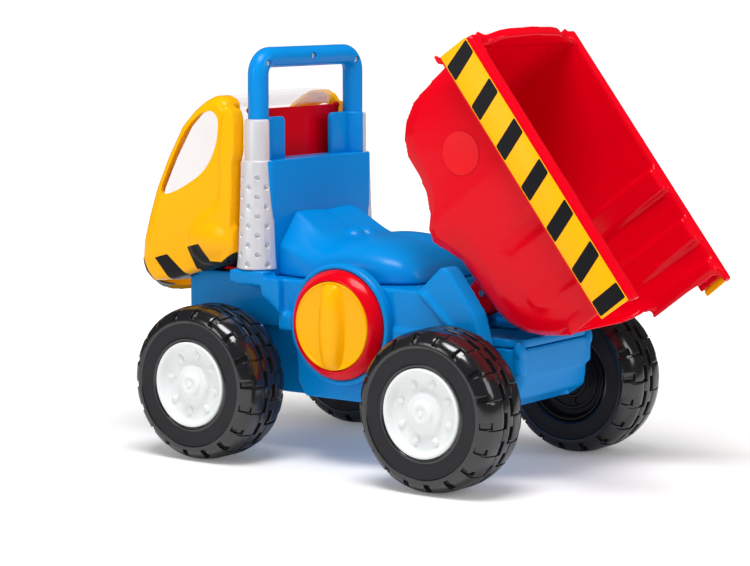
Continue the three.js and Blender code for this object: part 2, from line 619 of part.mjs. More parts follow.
function sectorGear() {
  const restAngle = MESH_ANGLE - TIP_ANGLE; // the tooth in mesh at full tip, seen level
  const outline = toothOutline(SECTOR_TEETH, -1, 6, restAngle);
  const web = [...outline, [20, 1], [7, 37], [-7, 37], ...arc(0, 0, 9.5, 150, 260, 5)];
  return sidePlate(web, [-5, 5])
    .subtract(round("y", [0, 0], [-20, 20], AXLE_R + GAP, AXLE_R + GAP, 16))
    .subtract(round("y", [0, 30], [-20, 20], 3.1, 3.1, 12));
}

// A thin sheet on the hanging face of the rim flange.
function hazardBand() {
  const g = new THREE.BoxGeometry(254, 0.5, 27.5);
  g.rotateX(Math.atan2(5.4, 32)).translate(RIM_REAR_X + 121, 83.9, RIM_Z - 18);
  return solid(g);
}

function badge() {
  const g = new THREE.CylinderGeometry(18, 18, 0.5, 24);
  g.rotateX(-0.014).translate(RIM_REAR_X + 179, 72.95, RIM_Z - 70);
  return solid(g);
}

// ---- assembly ----
place(truck, "lower_chassis", lowerChassis(), BLUE);
place(truck, "upper_body", upperBody(), BLUE);
place(truck, "bonnet", bonnet(), BLUE);
place(truck, "headboard", headboard(), BLUE);
place(truck, "handle_front_half", handleHalf(true), BLUE);
place(truck, "handle_rear_half", handleHalf(false), BLUE);
for (const [side, y, z] of handleScrews) place(truck, `handle_screw_${side}`, handleScrew(y, z), STEEL);

place(truck, "cab_shell", cabShell(), YELLOW);
place(truck, "cab_glazing", cabGlazing(), CLEAR);
place(truck, "cab_interior", cabInterior(), RED);
place(truck, "front_grille", onNose(2, block([320, 400], [-34, 34], [150, 196])), BLACK);

const sides = [["left", (part) => part], ["right", mirrored]];
for (const [side, turn] of sides) {
  place(truck, `exhaust_stack_${side}`, turn(exhaustStack()), SILVER);
  place(truck, `headlight_${side}`, turn(onNose(3, round("x", [54, 176], [300, 400], 12, 12, 32))), WHITE);
  place(truck, `knob_housing_${side}`, turn(knobHousing()), BLUE);
  place(truck, `knob_bezel_${side}`, turn(knobBezel()), RED);
  place(truck, `knob_${side}`, turn(knob()), YELLOW);
  const bush = (x, z, span, outer, inner) => ring([[inner, span[0]], [outer, span[0]], [outer, span[1]], [inner, span[1]]], 12)
    .translate([x, 0, z]);
  place(truck, `knob_bush_${side}`, turn(bush(KNOB.x, KNOB.z, [72, 78], 7.8, 4.3)), NYLON);
  place(truck, `rear_axle_bush_${side}`, turn(bush(0, WHEEL_R, [45, 57], 5.8, 3.3)), NYLON);
  place(truck, `front_axle_bush_${side}`, turn(bush(WHEELBASE, WHEEL_R, [45, 57], 5.8, 3.3)), NYLON);
}
place(truck, "knob_shaft", round("y", [KNOB.x, KNOB.z], [-89, 89], 4, 4, 16), STEEL);
place(truck, "pinion", pinion(), NYLON);
place(truck, "bucket_pivot_pin", round("y", [PIVOT.x, PIVOT.z], [-29, 29], AXLE_R, AXLE_R, 16), STEEL);
for (const [i, [x, y]] of SCREWS.entries()) {
  place(truck, `chassis_screw_${i + 1}`, union(
    round("z", [x, y], [62.5, 65.7], 3.7, 3.7, 8),
    round("z", [x, y], [65.6, DECK_Z - 3.5], 1.6, 1.6, 8),
  ), STEEL);
}

const bucketGroup = new THREE.Group();
bucketGroup.position.set(PIVOT.x, 0, PIVOT.z);
bucketGroup.rotation.y = -TIP_ANGLE;
place(bucketGroup, "bucket", bucket(), RED);
place(bucketGroup, "sector_gear", sectorGear(), NYLON);
place(bucketGroup, "sector_dowel", round("y", [0, 30], [-16.5, 16.5], 2.8, 2.8, 12), STEEL);
for (const [side, turn] of sides) {
  place(bucketGroup, `hazard_band_${side}`, turn(hazardBand()), YELLOW);
  place(bucketGroup, `bucket_badge_${side}`, turn(badge()), RED);
}
truck.add(bucketGroup);

wheelset("rear", 0);
wheelset("front", WHEELBASE);

const CENTRE_SHIFT = 100.64;
truck.position.x = -CENTRE_SHIFT;
const part = new THREE.Group();
part.add(truck);
export default part;
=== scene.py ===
"""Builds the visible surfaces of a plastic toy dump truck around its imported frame."""

import math

import bmesh
import bpy
from bpy.props import FloatProperty, FloatVectorProperty, IntProperty, PointerProperty
from mathutils import Matrix, Vector


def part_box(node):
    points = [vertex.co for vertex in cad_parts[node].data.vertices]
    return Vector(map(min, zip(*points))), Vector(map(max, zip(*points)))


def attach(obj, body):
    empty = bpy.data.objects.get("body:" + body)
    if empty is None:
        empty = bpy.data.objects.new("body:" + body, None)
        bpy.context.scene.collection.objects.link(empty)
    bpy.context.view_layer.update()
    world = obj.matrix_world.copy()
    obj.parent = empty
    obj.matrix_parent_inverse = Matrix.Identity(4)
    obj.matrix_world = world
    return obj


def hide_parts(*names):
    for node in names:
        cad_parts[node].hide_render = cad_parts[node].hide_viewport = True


bl_info = {
    "name": "Toy dump truck",
    "version": (1, 0, 0),
    "blender": (4, 5, 0),
    "location": "3D View > Sidebar > Truck",
    "description": "Adds the moulded pieces, finishes and stage of a toddler's dump truck",
    "category": "Object",
}

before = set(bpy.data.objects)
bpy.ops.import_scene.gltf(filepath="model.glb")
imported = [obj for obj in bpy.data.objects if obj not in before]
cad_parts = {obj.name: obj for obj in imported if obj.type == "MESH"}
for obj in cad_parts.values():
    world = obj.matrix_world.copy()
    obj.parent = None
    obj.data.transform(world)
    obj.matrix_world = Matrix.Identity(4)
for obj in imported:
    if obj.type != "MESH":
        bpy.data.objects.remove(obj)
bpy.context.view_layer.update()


def middle(node):
    low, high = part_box(node)
    return (low + high) / 2


# Lengths below are millimetres from the ground under the rear axle, forward, left and up.
REAR_AXLE = middle("rear_axle")
FRONT_AXLE = middle("front_axle")
KNOB = middle("knob_shaft")
HINGE = middle("bucket_pivot_pin")
WHEEL_RADIUS = REAR_AXLE.z * 1000
WHEELBASE = (FRONT_AXLE.x - REAR_AXLE.x) * 1000
KNOB_X, KNOB_Z = (KNOB.x - REAR_AXLE.x) * 1000, KNOB.z * 1000
HINGE_X, HINGE_Z = (HINGE.x - REAR_AXLE.x) * 1000, HINGE.z * 1000
TIP_ANGLE = math.radians(52.5)
PARTING_Z = 112.4
BODY_TOP_Z = 157.0
STACK_X, STACK_Y = 222.0, 68.0
HEADBOARD_TOP_Z = 257.4
HANDLE_TOP_Z = 345.8
# The bucket is drawn level: u from the rear end of its rim forward, w up from the rim.
BUCKET_HINGE_U, BUCKET_HINGE_W = 92.0, -187.8
PLACE = Matrix.Translation((REAR_AXLE.x, 0, 0)) @ Matrix.Scale(0.001, 4)
TIPPED = (
    PLACE
    @ Matrix.Translation((HINGE_X, 0, HINGE_Z))
    @ Matrix.Rotation(-TIP_ANGLE, 4, "Y")
    @ Matrix.Translation((-BUCKET_HINGE_U, 0, -BUCKET_HINGE_W))
)


# ---- sizes and colours that a user would change ----
class TruckSizes(bpy.types.PropertyGroup):
    tread_depth: FloatProperty(
        name="Tread depth", description="Depth of the pockets in the tyre tread", default=0.0032,
        min=0.001, max=0.004, unit="LENGTH")
    tyre_lugs: IntProperty(
        name="Tyre lugs", description="Lugs round one row of tread", default=18, min=12, max=24)
    stripe_pitch: FloatProperty(
        name="Stripe pitch", description="Distance between the black stripes of the rim band",
        default=0.0394, min=0.02, max=0.06, unit="LENGTH")
    lens: FloatProperty(name="Lens", description="Camera lens in millimetres", default=119.87)


def srgb(hex_value):
    """A colour of the usual screen notation, turned to linear light."""
    channels = [int(hex_value[i:i + 2], 16) / 255 for i in (1, 3, 5)]
    return [c / 12.92 if c <= 0.04045 else ((c + 0.055) / 1.055) ** 2.4 for c in channels]


def colour(name, description, hex_value):
    return FloatVectorProperty(
        name=name, description=description, subtype="COLOR", size=3, min=0, max=1, default=srgb(hex_value))


class TruckColours(bpy.types.PropertyGroup):
    blue: colour("Blue", "Body, chassis and handle", "#0085D2")
    yellow: colour("Yellow", "Cab and knobs", "#FBB000")
    red: colour("Red", "Bucket and rings", "#DA0018")
    silver: colour("Silver", "Exhaust stacks", "#D9D9DE")
    black: colour("Black", "Tyres and trim", "#1C1C1F")
    white: colour("White", "Wheel hubs", "#E4E7E7")
    band: colour("Band yellow", "Printed film on the bucket rim", "#FCAE00")


# ---- materials ----
def node(tree, kind, links=(), **settings):
    """Adds one shader node: settings go to its fields or sockets, links join its sockets to others."""
    made = tree.nodes.new(kind)
    for key, value in settings.items():
        if key in made.bl_rna.properties:
            setattr(made, key, value)
        else:
            made.inputs[key.replace("_", " ")].default_value = value
    for socket, source in links:
        tree.links.new(source, made.inputs[socket])
    return made


def new_material(name):
    material = bpy.data.materials.new(name)
    material.use_nodes = True
    tree = material.node_tree
    shader = tree.nodes["Principled BSDF"]
    return material, tree, shader


def moulded_plastic(name, base, roughness, *, orange_peel_mm=1.6, peel=0.05, flow_mm=60.0,
                    shade=0.05, sheen=0.15):
    """ABS or polypropylene from a polished mould: even deep colour, a faint orange peel
    that breaks the reflections up, and slow cloudy variation where the melt flowed."""
    material, tree, shader = new_material(name)
    place = node(tree, "ShaderNodeTexCoord").outputs["Object"]
    cloud = node(tree, "ShaderNodeTexNoise", [("Vector", place)], Scale=1000 / flow_mm, Detail=3.0)
    tint = node(tree, "ShaderNodeMix", [("Factor", cloud.outputs["Fac"])], data_type="RGBA")
    tint.inputs["A"].default_value = [c * (1 - shade) for c in base] + [1]
    tint.inputs["B"].default_value = [min(1, c * (1 + shade)) for c in base] + [1]
    grain = node(tree, "ShaderNodeTexNoise", [("Vector", place)], Scale=1000 / orange_peel_mm, Detail=2.0)
    gloss = node(tree, "ShaderNodeMapRange", [("Value", cloud.outputs["Fac"])])
    gloss.inputs["To Min"].default_value = roughness * 0.85
    gloss.inputs["To Max"].default_value = roughness * 1.15
    bump = node(tree, "ShaderNodeBump", [("Height", grain.outputs["Fac"])], Strength=peel, Distance=0.0004)
    tree.links.new(tint.outputs["Result"], shader.inputs["Base Color"])
    tree.links.new(gloss.outputs["Result"], shader.inputs["Roughness"])
    tree.links.new(bump.outputs["Normal"], shader.inputs["Normal"])
    shader.inputs["IOR"].default_value = 1.54
    shader.inputs["Specular IOR Level"].default_value = sheen
    return material


def metal(name, hex_value, roughness, line_mm, metallic=1.0):
    """Drawn or turned steel: fine lines along the work and a dull shine."""
    material, tree, shader = new_material(name)
    place = node(tree, "ShaderNodeTexCoord").outputs["Object"]
    lines = node(tree, "ShaderNodeTexNoise", [("Vector", place)], Scale=1000 / line_mm, Detail=4.0)
    gloss = node(tree, "ShaderNodeMapRange", [("Value", lines.outputs["Fac"])])
    gloss.inputs["To Min"].default_value = roughness * 0.7
    gloss.inputs["To Max"].default_value = roughness * 1.3
    bump = node(tree, "ShaderNodeBump", [("Height", lines.outputs["Fac"])], Strength=0.15, Distance=0.0002)
    tree.links.new(gloss.outputs["Result"], shader.inputs["Roughness"])
    tree.links.new(bump.outputs["Normal"], shader.inputs["Normal"])
    shader.inputs["Base Color"].default_value = [*srgb(hex_value), 1]
    shader.inputs["Metallic"].default_value = metallic
    return material


def clear_styrene(name):
    """Crystal polystyrene for the cab roof and windscreen: thin and clear, with a faint ripple and a painted
    white sheen, a faint white opacity that stands in for the reflections of the white surroundings."""
    material, tree, shader = new_material(name)
    place = node(tree, "ShaderNodeTexCoord").outputs["Object"]
    ripple = node(tree, "ShaderNodeTexNoise", [("Vector", place)], Scale=1000 / 18, Detail=1.0)
    bump = node(tree, "ShaderNodeBump", [("Height", ripple.outputs["Fac"])], Strength=0.08, Distance=0.001)
    # Painted sheen: the ripple varies a faint white opacity that stands in for reflected light.
    painted_sheen = node(tree, "ShaderNodeMapRange", [("Value", ripple.outputs["Fac"])])
    painted_sheen.inputs["To Min"].default_value = 0.07
    painted_sheen.inputs["To Max"].default_value = 0.15
    tree.links.new(bump.outputs["Normal"], shader.inputs["Normal"])
    tree.links.new(painted_sheen.outputs["Result"], shader.inputs["Alpha"])
    shader.inputs["Base Color"].default_value = [*srgb("#FAFBFC"), 1]
    shader.inputs["Roughness"].default_value = 0.04
    shader.inputs["Specular IOR Level"].default_value = 0.8
    return material


def finishes():
    """Makes every finish once and keeps it by name."""
    c = bpy.context.scene.truck_colours
    printed = {"orange_peel_mm": 3.0, "peel": 0.02}
    made = {
        # Gloss ABS in a strong blue: broad soft reflections and rounded highlights
        "blue_abs": moulded_plastic("blue_moulded_abs", c.blue, 0.26),
        # The same resin in warm yellow, which takes slightly sharper reflections
        "yellow_abs": moulded_plastic("yellow_moulded_abs", c.yellow, 0.2, shade=0.03),
        # Red ABS, polished more than the blue, so that neighbours show in it
        "red_abs": moulded_plastic("red_moulded_abs", c.red, 0.17, shade=0.04, peel=0.03),
        # Silver-pigmented ABS: flake gives a satin, half metallic look
        "silver_abs": moulded_plastic("silver_pigmented_abs", c.silver, 0.42, orange_peel_mm=0.6, peel=0.1),
        # Hard black polyethylene tyre, blow moulded with a shiny tread
        "tyre_shell": moulded_plastic(
            "black_polyethylene_tyre", c.black, 0.17, orange_peel_mm=2.4, peel=0.06, shade=0.12, sheen=0.7),
        # The tyre's side ring is spark eroded in the mould, which leaves it dull
        "tyre_side": moulded_plastic(
            "black_polyethylene_matt", srgb("#2A2A2D"), 0.5, orange_peel_mm=0.7, peel=0.35, shade=0.12),
        "black_abs": moulded_plastic("black_moulded_abs", c.black, 0.3, shade=0.1),
        # White polypropylene hub: very pale, soft shading
        "white_pp": moulded_plastic("white_polypropylene", c.white, 0.36, shade=0.01, peel=0.04),
        # Printed vinyl film: flat and slightly duller than the plastic around it
        "band_film": moulded_plastic("yellow_vinyl_film", c.band, 0.3, shade=0.01, **printed),
        "stripe_film": moulded_plastic("black_vinyl_ink", srgb("#17171A"), 0.32, **printed),
        "badge_film": moulded_plastic("red_vinyl_film", srgb("#E0141F"), 0.28, shade=0.02, **printed),
        "nylon": moulded_plastic("natural_nylon", srgb("#E6E1D3"), 0.45, shade=0.03),
        "steel": metal("zinc_plated_steel", "#B9BBC0", 0.3, 0.8),
        # Nickel-bright screw heads: pale enough to read as metal in the shade of their wells
        "bright_nickel": metal("bright_nickel_screw", "#E6E7EA", 0.32, 0.8, metallic=0.3),
        "clear_ps": clear_styrene("clear_polystyrene"),
    }
    made["silver_abs"].node_tree.nodes["Principled BSDF"].inputs["Metallic"].default_value = 0.35
    return made


FINISHES = {}


def finish_of(name):
    if not FINISHES:
        FINISHES.update(finishes())
    return FINISHES[name]


# ---- modelling helpers ----
def select_only(*pieces):
    bpy.ops.object.select_all(action="DESELECT")
    for piece in pieces:
        piece.select_set(True)
    bpy.context.view_layer.objects.active = pieces[0]


def shape_mode(piece):
    select_only(piece)
    bpy.ops.object.mode_set(mode="EDIT")
    bpy.ops.mesh.select_all(action="SELECT")


def object_mode():
    bpy.ops.object.mode_set(mode="OBJECT")


def copied(piece):
    """A copy of a piece, with its own mesh."""
    other = piece.copy()
    other.data = piece.data.copy()
    bpy.context.scene.collection.objects.link(other)
    return other


def outline(points, to_space):
    """A flat face round an outline: a circle primitive whose corners go to the points."""
    bpy.ops.object.select_all(action="DESELECT")
    bpy.ops.mesh.primitive_circle_add(vertices=len(points), fill_type="NGON")
    piece = bpy.context.object
    for corner, point in zip(piece.data.vertices, points):
        corner.co = to_space(*point)
    return piece


def plate(points, axis, span):
    """An outline extruded along an axis: x from (y, z), y from (x, z) or z from (x, y)."""
    to_space = {
        "x": lambda a, b: (span[0], a, b),
        "y": lambda a, b: (a, span[0], b),
        "z": lambda a, b: (a, b, span[0]),
    }[axis]
    piece = outline(points, to_space)
    shape_mode(piece)
    push = [0, 0, 0]
    push["xyz".index(axis)] = span[1] - span[0]
    bpy.ops.mesh.extrude_region_move(TRANSFORM_OT_translate={"value": push})
    bpy.ops.mesh.select_all(action="SELECT")
    bpy.ops.mesh.normals_make_consistent(inside=False)
    object_mode()
    return piece


def turned(profile, centre, axis="y", steps=64):
    """A closed profile of (radius, height) spun round an axis through a point."""
    x, z = centre
    if axis == "y":
        piece = outline(profile, lambda r, h: (x + r, h, z))
        axle, pivot = (0, 1, 0), (x, 0, z)
    else:
        piece = outline(profile, lambda r, h: (x + r, z, h))
        axle, pivot = (0, 0, 1), (x, z, 0)
    shape_mode(piece)
    bpy.ops.mesh.delete(type="ONLY_FACE")
    bpy.ops.mesh.select_all(action="SELECT")
    bpy.ops.mesh.spin(steps=steps, angle=math.tau, center=pivot, axis=axle)
    bpy.ops.mesh.select_all(action="SELECT")
    bpy.ops.mesh.remove_doubles(threshold=0.002)
    bpy.ops.mesh.normals_make_consistent(inside=False)
    object_mode()
    return piece


def rod(centre, axis, span, radius, end_radius=None, sides=48):
    """A straight round bar, or a taper, with its ends bevelled later."""
    end_radius = radius if end_radius is None else end_radius
    bpy.ops.object.select_all(action="DESELECT")
    bpy.ops.mesh.primitive_cone_add(
        vertices=sides, radius1=radius, radius2=end_radius, depth=span[1] - span[0])
    piece = bpy.context.object
    mid = (span[0] + span[1]) / 2
    turn, spot = {
        "x": (Matrix.Rotation(math.pi / 2, 4, "Y"), (mid, *centre)),
        "y": (Matrix.Rotation(-math.pi / 2, 4, "X"), (centre[0], mid, centre[1])),
        "z": (Matrix.Identity(4), (*centre, mid)),
    }[axis]
    piece.data.transform(Matrix.Translation(spot) @ turn)
    piece.location = (0, 0, 0)
    return piece


def skin(rings):
    """Joins rows of points, each a closed ring of the same count, into one closed surface."""
    count = len(rings[0])
    faces = [list(reversed(range(count)))]
    for k in range(len(rings) - 1):
        for i in range(count):
            j = (i + 1) % count
            faces.append([k * count + i, k * count + j, (k + 1) * count + j, (k + 1) * count + i])
    faces.append([(len(rings) - 1) * count + i for i in range(count)])
    mesh = bpy.data.meshes.new("skin")
    mesh.from_pydata([p for ring in rings for p in ring], [], faces)
    piece = bpy.data.objects.new("skin", mesh)
    bpy.context.scene.collection.objects.link(piece)
    shape_mode(piece)
    bpy.ops.mesh.normals_make_consistent(inside=False)
    object_mode()
    return piece


def modify(piece, kind, **settings):
    """Adds a modifier with its settings and applies it."""
    select_only(piece)
    modifier = piece.modifiers.new(kind.lower(), kind)
    for key, value in settings.items():
        setattr(modifier, key, value)
    bpy.ops.object.modifier_apply(modifier=modifier.name)
    return piece


def soften(piece, width, segments=3, angle=30):
    return modify(
        piece, "BEVEL", width=width, segments=segments, limit_method="ANGLE",
        angle_limit=math.radians(angle), use_clamp_overlap=True, miter_outer="MITER_ARC")


def cut(piece, *cutters, operation="DIFFERENCE"):
    for cutter in cutters:
        modify(piece, "BOOLEAN", object=cutter, operation=operation, solver="EXACT")
        bpy.data.objects.remove(cutter)
    return piece


def joined(first, *others):
    if others:
        select_only(first, *others)
        bpy.ops.object.join()
    return first


def twin(piece):
    """The other hand of a piece, with its own mesh."""
    other = copied(piece)
    other.data.transform(Matrix.Scale(-1, 4, (0, 1, 0)))
    other.data.flip_normals()
    return other


def both_sides(piece):
    return joined(piece, twin(piece))


def cast(piece, voxel, rounds=8):
    """Fuses a rough solid and rounds its edges inside and out, as a mould does."""
    modify(piece, "REMESH", mode="VOXEL", voxel_size=voxel)
    return modify(piece, "SMOOTH", factor=0.5, iterations=rounds)


def block(x, y, z):
    bpy.ops.object.select_all(action="DESELECT")
    bpy.ops.mesh.primitive_cube_add(size=1)
    piece = bpy.context.object
    size = [b - a for a, b in (x, y, z)]
    piece.data.transform(
        Matrix.Translation([(a + b) / 2 for a, b in (x, y, z)]) @ Matrix.Diagonal((*size, 1)))
    return piece


def ball(spot, size, segments=32, ring_count=16):
    """A ball stretched to three half sizes."""
    bpy.ops.object.select_all(action="DESELECT")
    bpy.ops.mesh.primitive_uv_sphere_add(segments=segments, ring_count=ring_count, radius=1)
    piece = bpy.context.object
    piece.data.transform(Matrix.Translation(spot) @ Matrix.Diagonal((*size, 1)))
    return piece


def arc(cx, cy, radius, start, end, steps):
    points = []
    for k in range(steps + 1):
        a = math.radians(start + (end - start) * k / steps)
        points.append((cx + radius * math.cos(a), cy + radius * math.sin(a)))
    return points


def round_plan(x, half_width, radius, steps=8):
    """A plan rectangle with round corners."""
    low, high, side = x[0] + radius, x[1] - radius, half_width - radius
    return (
        arc(high, -side, radius, -90, 0, steps) + arc(high, side, radius, 0, 90, steps)
        + arc(low, side, radius, 90, 180, steps) + arc(low, -side, radius, 180, 270, steps))


def inset(points, distance):
    """Moves a closed outline inwards."""
    ahead = points[1:] + points[:1]
    side = 1 if sum(a * d - c * b for (a, b), (c, d) in zip(points, ahead)) > 0 else -1
    moved = []
    for i, p in enumerate(points):
        before = (Vector(p) - Vector(points[i - 1])).normalized()
        after = (Vector(ahead[i]) - Vector(p)).normalized()
        a, b = Vector((-before.y, before.x)) * side, Vector((-after.y, after.x)) * side
        moved.append(tuple(Vector(p) + (a + b) * (distance / (1 + a.dot(b)))))
    return moved


def between(a, b, c, d, t):
    """A point on the smooth curve from b to c, for numbers or vectors."""
    square = (2 * a - 5 * b + 4 * c - d) * t * t
    return 0.5 * (2 * b + (c - a) * t + square + (3 * b - a - 3 * c + d) * t ** 3)


def smooth_closed(points, per_span=8):
    """A closed curve through points."""
    n, made = len(points), []
    for i in range(n):
        near = [Vector(points[(i + k) % n]) for k in (-1, 0, 1, 2)]
        made += [tuple(between(*near, k / per_span)) for k in range(per_span)]
    return made


def through(rows, per_span):
    """Rows of numbers with more rows between them, on smooth curves."""
    made = []
    for i in range(len(rows) - 1):
        near = [rows[min(max(i + k, 0), len(rows) - 1)] for k in (-1, 0, 1, 2)]
        made += [tuple(between(*four, k / per_span) for four in zip(*near)) for k in range(per_span)]
    return made + [tuple(rows[-1])]


def rounded(points, radius, steps=4):
    """An outline with its corners rounded off."""
    made = []
    for i, p in enumerate(points):
        p, before, after = Vector(p), Vector(points[i - 1]), Vector(points[(i + 1) % len(points)])
        a = p + (before - p).normalized() * min(radius, (before - p).length / 2)
        b = p + (after - p).normalized() * min(radius, (after - p).length / 2)
        for share in (k / steps for k in range(steps + 1)):
            made.append(tuple(a.lerp(p, share).lerp(p.lerp(b, share), share)))
    return made


def hand_over(piece, name, finish, body, *nodes, slot, place=PLACE, smooth=35):
    """Puts a finished piece at its place on its body, for the nodes it stands for."""
    select_only(piece)
    if smooth:
        bpy.ops.object.shade_smooth_by_angle(angle=math.radians(smooth), keep_sharp_edges=False)
    piece.data.transform(place)
    piece.name = piece.data.name = name
    if finish:
        piece.data.materials.clear()
        piece.data.materials.append(finish_of(finish))
    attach(piece, body)
    if nodes:
        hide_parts(*nodes)
    return piece


def hand_over_both(piece, name, finish, body, *nodes, **settings):
    """Hands over a left piece and its twin on the right."""
    other = twin(piece)
    for made, side in ((piece, "left"), (other, "right")):
        hand_over(made, f"{name}_{side}", finish, body, *[f"{node}_{side}" for node in nodes], **settings)


# ---- wheels ----
# Across the tread, from the outer side ring to the inner one: (half width position, radius).
TYRE_PROFILE = [
    (134.5, 37.4), (137.2, 37.6), (138.6, 38.8), (138.6, 40.0), (137.6, 41.0), (137.9, 47.0), (138.0, 53.0),
    (139.2, 54.2), (138.9, 57.5), (137.2, 60.6), (134.2, 63.4), (130.4, 65.4), (126.0, 66.4), (121.0, 67.0),
    (117.6, 67.0), (116.6, 67.0), (112.2, 67.0), (110.2, 67.0), (108.2, 67.0), (103.8, 67.0), (102.8, 67.0),
    (99.0, 67.0), (94.5, 66.4), (90.4, 65.4), (86.6, 63.4), (83.6, 60.6), (82.0, 57.5), (81.6, 54.2),
    (82.8, 53.0), (82.9, 47.0), (82.6, 40.5), (83.6, 38.4), (86.0, 37.4), (95.0, 37.4), (125.0, 37.4),
]
TREAD_MIDDLE = 110.2
# Radii between which the side ring is dull, in metres.
DULL_RING = (0.0405, 0.0535)
# Round one pitch, as shares of it.
PITCH_STEPS = [0, 0.055, 0.16, 0.27, 0.29, 0.37, 0.47, 0.53, 0.575, 0.68, 0.79, 0.9]


def tread_drop(share, y):
    """How deep the mould cuts the tread, as a share of its depth: pockets joined by thin lines."""
    if y <= TREAD_MIDDLE:
        share, y = (share + 0.5) % 1, 2 * TREAD_MIDDLE - y
    if 131 < y < 139 and 0.27 < share < 0.53:
        return 1.0
    if 112.2 < y < 117.6 and share < 0.575:
        return 1.0
    if 116.6 < y < 134 and 0.53 < share < 0.575:
        return 0.45
    if 116.6 < y < 117.6 and share > 0.575:
        return 0.45
    return 0.0


def tyre_mesh(depth, lugs):
    """The tyre as one skin over a grid round and across the tread, stepped down at each pocket."""
    shell = bmesh.new()
    turns = [(k + s) / lugs for k in range(lugs) for s in PITCH_STEPS]
    columns, rows = len(turns), len(TYRE_PROFILE)
    corners = {}

    def corner(i, j, drop):
        i %= columns
        j %= rows
        key = (i, j, round(drop, 2))
        if key not in corners:
            y, r = TYRE_PROFILE[j]
            before, after = TYRE_PROFILE[j - 1], TYRE_PROFILE[(j + 1) % rows]
            along = Vector((after[0] - before[0], after[1] - before[1])).normalized()
            y, r = y - along.y * drop, r - abs(along.x) * drop if r > 50 else r
            a = math.tau * turns[i]
            corners[key] = shell.verts.new((r * math.cos(a), y, r * math.sin(a)))
        return corners[key]

    drops = {}
    for i in range(columns):
        share = PITCH_STEPS[i % len(PITCH_STEPS)] + 0.01
        for j in range(rows):
            y = (TYRE_PROFILE[j][0] + TYRE_PROFILE[(j + 1) % rows][0]) / 2
            on_tread = TYRE_PROFILE[j][1] > 57 and TYRE_PROFILE[(j + 1) % rows][1] > 57
            drops[i, j] = depth * tread_drop(share, y) if on_tread else 0.0
    for (i, j), drop in drops.items():
        shell.faces.new([corner(i + a, j + b, drop) for a, b in ((0, 0), (1, 0), (1, 1), (0, 1))])
        for other, ends in (
            (drops[(i + 1) % columns, j], ((i + 1, j), (i + 1, j + 1))),
            (drops[i, (j + 1) % rows], ((i, j + 1), (i + 1, j + 1))),
        ):
            if abs(other - drop) > 1e-6:
                (a, b), (c, d) = ends
                wall = [corner(a, b, drop), corner(c, d, drop), corner(c, d, other), corner(a, b, other)]
                wall = list(dict.fromkeys(wall))
                if len(wall) > 2:
                    shell.faces.new(wall)
    bmesh.ops.recalc_face_normals(shell, faces=shell.faces)
    mesh = bpy.data.meshes.new("tyre")
    shell.to_mesh(mesh)
    shell.free()
    return mesh


def wheel_parts():
    """Every wheel as (end, side, x of its axle)."""
    for end, x in (("rear", 0.0), ("front", WHEELBASE)):
        for side in ("left", "right"):
            yield end, side, x


def stand_wheel(model, end, side, x):
    """A copy of a left wheel piece, moved to its axle and turned over for the right side."""
    piece = twin(model) if side == "right" else copied(model)
    turn = math.radians(4 if end == "rear" else 13)
    piece.data.transform(Matrix.Translation((x, 0, WHEEL_RADIUS)) @ Matrix.Rotation(turn, 4, "Y"))
    return piece


class TRUCK_OT_tyres(bpy.types.Operator):
    """Four hard tyres with pocketed tread and a dull side ring"""

    bl_idname = "truck.tyres"
    bl_label = "Tyres"

    def execute(self, context):
        sizes = context.scene.truck_sizes
        model = bpy.data.objects.new("tyre_model", tyre_mesh(sizes.tread_depth * 1000, sizes.tyre_lugs))
        context.scene.collection.objects.link(model)
        modify(model, "BEVEL", width=0.38, segments=2, limit_method="ANGLE", angle_limit=math.radians(38),
               use_clamp_overlap=True)
        for end, side, x in wheel_parts():
            piece = stand_wheel(model, end, side, x)
            hand_over(piece, f"tyre_{end}_{side}", "tyre_shell", f"{end}_wheelset", f"{end}_{side}_tyre",
                      slot="tyre_black", smooth=28)
            piece.data.materials.append(finish_of("tyre_side"))
            centre = REAR_AXLE if end == "rear" else FRONT_AXLE
            for face in piece.data.polygons:
                radius = math.hypot(face.center.x - centre.x, face.center.z - centre.z)
                face.material_index = int(DULL_RING[0] < radius < DULL_RING[1])
        bpy.data.objects.remove(model)
        return {"FINISHED"}


class TRUCK_OT_hubs(bpy.types.Operator):
    """White dished hubs with studs round a stepped centre boss"""

    bl_idname = "truck.hubs"
    bl_label = "Hubs"

    def execute(self, context):
        model = turned([
            (0, 119), (27, 122), (35.5, 129), (36.9, 131), (36.9, 138.2), (36.1, 139.0), (34.6, 139.0),
            (33.4, 138.0), (32.4, 134.6), (30.0, 132.6), (24.0, 131.4), (18.6, 131.2), (17.4, 131.8),
            (16.6, 133.2), (15.6, 134.4), (13.6, 135.0), (11.0, 135.2), (10.2, 135.8), (9.6, 137.4),
            (8.4, 138.2), (5.4, 138.4), (4.8, 137.8), (2.6, 137.6), (2.2, 138.4), (0, 138.6)],
            (0, 0), steps=96)
        studs = []
        for k in range(8):
            stud = ball((25.2, 131.6, 0), (4.2, 2.4, 3.1), 20, 12)
            stud.data.transform(Matrix.Rotation(math.tau * (k + 0.5) / 8, 4, "Y"))
            studs.append(stud)
        model = joined(model, *studs)
        for end, side, x in wheel_parts():
            hand_over(stand_wheel(model, end, side, x), f"hub_{end}_{side}", "white_pp", f"{end}_wheelset",
                      f"{end}_{side}_hub", slot="hub_white", smooth=50)
        bpy.data.objects.remove(model)
        return {"FINISHED"}


